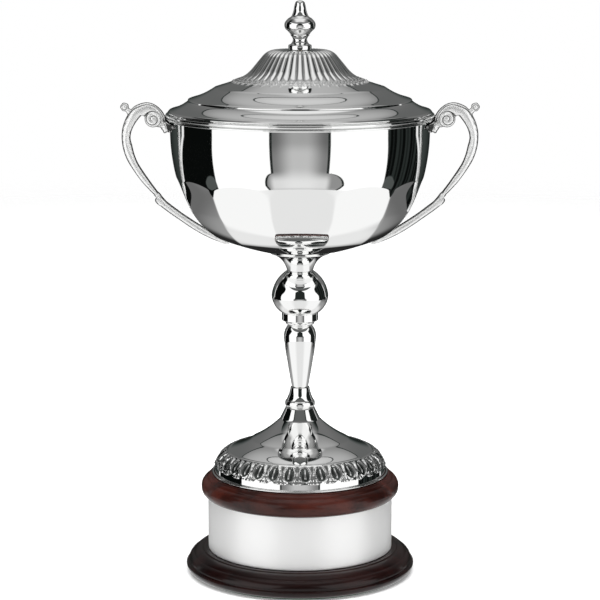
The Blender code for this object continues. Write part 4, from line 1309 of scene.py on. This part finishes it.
    def cast(self) -> tuple[Array, Array]:
        """Joins the parts into one skin of even small faces, as a casting would be.

        Returns:
            Points in millimetres and quads.
        """
        vx, vz = self.volute
        bx, bz = self.bud
        parts = [self.arm(), self.disc(vx, vz, self.volute_radius, 3.5, 0.6), self.mount(),
                 self.ball(bx, bz, (3.3, 3.2, 3.3), 0.05),
                 self.bar((130.4, 363.6), (bx - 1.4, bz - 1.5), 2.9, 1.9, 1.0),
                 self.ball(103.7, 352.2, (3.3, 3.6, 3.7), 0.12),
                 self.bar((101.6, 354.4), (109.6, 356.0), 2.9, 3.0, 1.15)]
        whole = joined(parts)
        data = bpy.data.meshes.new("casting")
        data.from_pydata(whole.points * MM, [], whole.quads)
        thing = in_scene("casting", data)
        skin = thing.modifiers.new("skin", "REMESH")
        skin.mode = "VOXEL"
        skin.voxel_size = self.voxel * MM
        calm = thing.modifiers.new("calm", "SMOOTH")
        calm.factor = 0.5
        calm.iterations = 3
        bpy.context.view_layer.update()
        done = bpy.data.meshes.new_from_object(thing.evaluated_get(bpy.context.evaluated_depsgraph_get()))
        points = np.empty(len(done.vertices) * 3, np.float32)
        done.vertices.foreach_get("co", points)
        corners = np.empty(len(done.loops), np.int32)
        done.loops.foreach_get("vertex_index", corners)
        bpy.data.objects.remove(thing)
        bpy.data.meshes.remove(done)
        bpy.data.meshes.remove(data)
        return points.reshape(-1, 3).astype(float) / MM, corners.reshape(-1, 4)

    def normals(self, points: Array, quads: Array) -> Array:
        """Point normals: the sum of the cross products of the diagonals of the quads round each point."""
        a, b, c, d = (points[quads[:, k]] for k in range(4))
        cross = np.cross(c - a, d - b)
        total = np.zeros_like(points)
        for k in range(4):
            np.add.at(total, quads[:, k], cross)
        return total / np.maximum(np.linalg.norm(total, axis=1, keepdims=True), 1e-9)

    def along(self, points: Array) -> tuple[Array, Array]:
        """For each point, its distance down the arm and its place across it, -1 inside to 1 outside."""
        outer = curve_through(np.array(self.outer), 360)
        inner = curve_through(np.array(self.inner), 360)
        middle, reach = (outer + inner) / 2, (outer - inner) / 2
        run = walked(middle)
        flat = points[:, [0, 2]]
        nearest = np.concatenate([
            ((part[:, None, :] - middle[None]) ** 2).sum(axis=2).argmin(axis=1)
            for part in np.array_split(flat, max(1, len(flat) // 4000))])
        off = flat - middle[nearest]
        across = (off * reach[nearest]).sum(axis=1) / (reach[nearest] ** 2).sum(axis=1)
        return run[nearest], across

    def relief(self, points: Array, normal: Array) -> tuple[Array, Array]:
        """Height of the modelling over the casting, and how hollow it is.

        The volute carries a spiral, cos of (rho - pitch * a / 2 pi) over the pitch. Down the arm run a
        mid rib, side veins that slant away from it, a raised rim over the crest, and a notched inner
        edge; below the second leaf's step only two lines along the arm are left.
        """
        run, across = self.along(points)
        total = run.max()
        x, z = points[:, 0], points[:, 2]
        face = np.abs(normal[:, 1])
        dx, dz = x - self.volute[0], z - self.volute[1]
        rho, bearing = np.hypot(dx, dz), np.arctan2(dz, dx)
        coil = np.cos(TURN * (rho - self.pitch * bearing / TURN) / self.pitch)
        on_volute = (1 - ramp(rho, 5.9, 6.5)) * ramp(face, 0.3, 0.7)
        eye = hump(rho, 0.0, 1.0)
        rise = on_volute * (0.26 * coil * (1 - eye) + 0.4 * eye)
        border = hump(rho, 6.35, 0.36) * ramp(face, 0.3, 0.7)
        rise -= 0.22 * border
        hollow = on_volute * ramp(-coil, 0.50, 0.98) * (1 - eye) * 0.9 + 0.9 * border

        band = ramp(face, 0.15, 0.6)
        off_volute = ramp(rho, 6.3, 7.0)
        crest = off_volute * (1 - ramp(run, 30.0, 44.0)) * (run > 1) * band
        step_run = 0.585 * total
        leaf = off_volute * window(run, 26.0, 40.0, step_run - 1.0, step_run + 0.5)
        second = ramp(run, step_run - 0.6, step_run + 0.8)
        first_of_second = second * (1 - ramp(run, step_run + 14.0, step_run + 30.0))
        side = np.abs(across - 0.05)
        rib = hump(across, 0.05, 0.12)
        veins = np.cos(TURN * (run - 9.0 * side) / 5.2)
        stroke = (hump(across, 0.52 + 0.10 * np.sin(run / 3.1), 0.07)
                  + hump(across, -0.50 + 0.10 * np.sin(run / 2.7), 0.07))
        notch = np.cos(TURN * run / 3.0) * ramp(-across, 0.60, 0.90) * ramp(run, 60.0, 75.0)
        rise += leaf * band * (0.24 * rib + 0.09 * veins * ramp(side, 0.12, 0.4) - 0.10 * stroke)
        rise += leaf * 0.16 * notch
        rim = hump(across, 0.62, 0.12) + 0.6 * hump(across, -0.70, 0.08) * ramp(run, 24.0, 28.0)
        rise -= crest * 0.28 * rim
        lines = hump(across, 0.42, 0.12) + hump(across, -0.42, 0.12)
        rise += second * band * (0.16 * lines - 0.14 * hump(across, 0.0, 0.25))
        rise += first_of_second * (0.42 + 0.06 * np.cos(TURN * (run - 6.0 * side) / 5.0) * band)
        rise += 0.6 * hump(run, step_run + 0.8, 1.2) * ramp(np.abs(across), 0.3, 0.9)
        hollow += leaf * band * (0.28 * ramp(-veins, 0.2, 1.0) * ramp(side, 0.1, 0.3) + 0.22 * hump(side, 0.2, 0.07)
                                 + 0.28 * stroke)
        hollow += leaf * 0.35 * np.clip(-notch, 0, 1)
        hollow += crest * 0.85 * rim
        hollow += second * band * (0.32 * hump(across, 0.0, 0.14) + 0.2 * hump(np.abs(across), 0.72, 0.08))
        far = np.hypot(x - self.bud[0], z - self.bud[1])
        whorl = hump(far, 2.1, 0.32) * ramp(face, 0.2, 0.5)
        rise -= 0.25 * whorl
        hollow += 0.85 * whorl
        pad = (1 - ramp(x, 103.5, 105.5)) * (z > 340)
        rise = rise * (1 - pad)
        ribs = np.cos(TURN * np.degrees(np.arctan2(points[:, 1], x)) / 3.4)
        rise += pad * 0.10 * ribs * ramp(normal[:, 0], 0.2, 0.7)
        hollow = hollow * (1 - pad) + pad * 0.30 * ramp(-ribs, 0.3, 1.0) * ramp(normal[:, 0], 0.2, 0.7)
        return rise, np.clip(hollow, 0, 1)

    def build(self, shop: Workshop) -> None:
        """Casts the handle, models its surface and keeps it clear of the bowl's underside."""
        points, quads = self.cast()
        normal = self.normals(points, quads)
        rise, hollow = self.relief(points, normal)
        points = points + normal * rise[:, None]
        bowl = bulged(Bowl().outline)
        reach = np.hypot(points[:, 0], points[:, 1])
        limit = np.interp(reach, bowl[:, 0], bowl[:, 1]) + base_of("bowl_shell") - 0.4
        under = (points[:, 2] < 300) & (reach < 99)
        points[:, 2] = np.where(under, np.minimum(points[:, 2], limit), points[:, 2])
        if self.side is Side.LEFT:
            points[:, 0] *= -1
        name = f"handle_{self.side.name.lower()}"
        shop.put(name + "_cast", Solid(points, quads, hollow).oriented(), Slot.CAST, (name,))


# ------------------------------------------------------------------ hidden fixings
@dataclass
class Fixings:
    """Rod, nuts, washers, plates and screws that keep their CAD shape and get a machined finish."""

    brass: tuple[str, ...] = ("tie_rod", "foot_plate", "foot_nut", "plinth_nut", "plinth_washer", "finial_stud",
                              "finial_washer", "finial_nut")
    steel: tuple[str, ...] = field(default_factory=lambda: tuple(f"{end}_screw_{n}" for end in ("base", "cap")
                                                                 for n in (1, 2, 3)))

    def build(self, shop: Workshop) -> None:
        """Dresses the nodes."""
        for node in self.brass:
            shop.dress(node, Slot.BRASS)
        for node in self.steel:
            shop.dress(node, Slot.STEEL)


def main() -> None:
    """Builds the studio and the cup from the ground up."""
    logging.basicConfig(level=logging.INFO, format="%(name)s %(message)s")
    Studio().build()
    shop = Workshop()
    for part in (Plinth(), Foot(), Stem(), Bowl(), Handle(Side.LEFT), Handle(Side.RIGHT), Lid(), Fixings()):
        part.build(shop)
        LOG.info("built %s", type(part).__name__)
    LOG.info("%d pieces", len(shop.made))


if __name__ == "__main__":
    main()
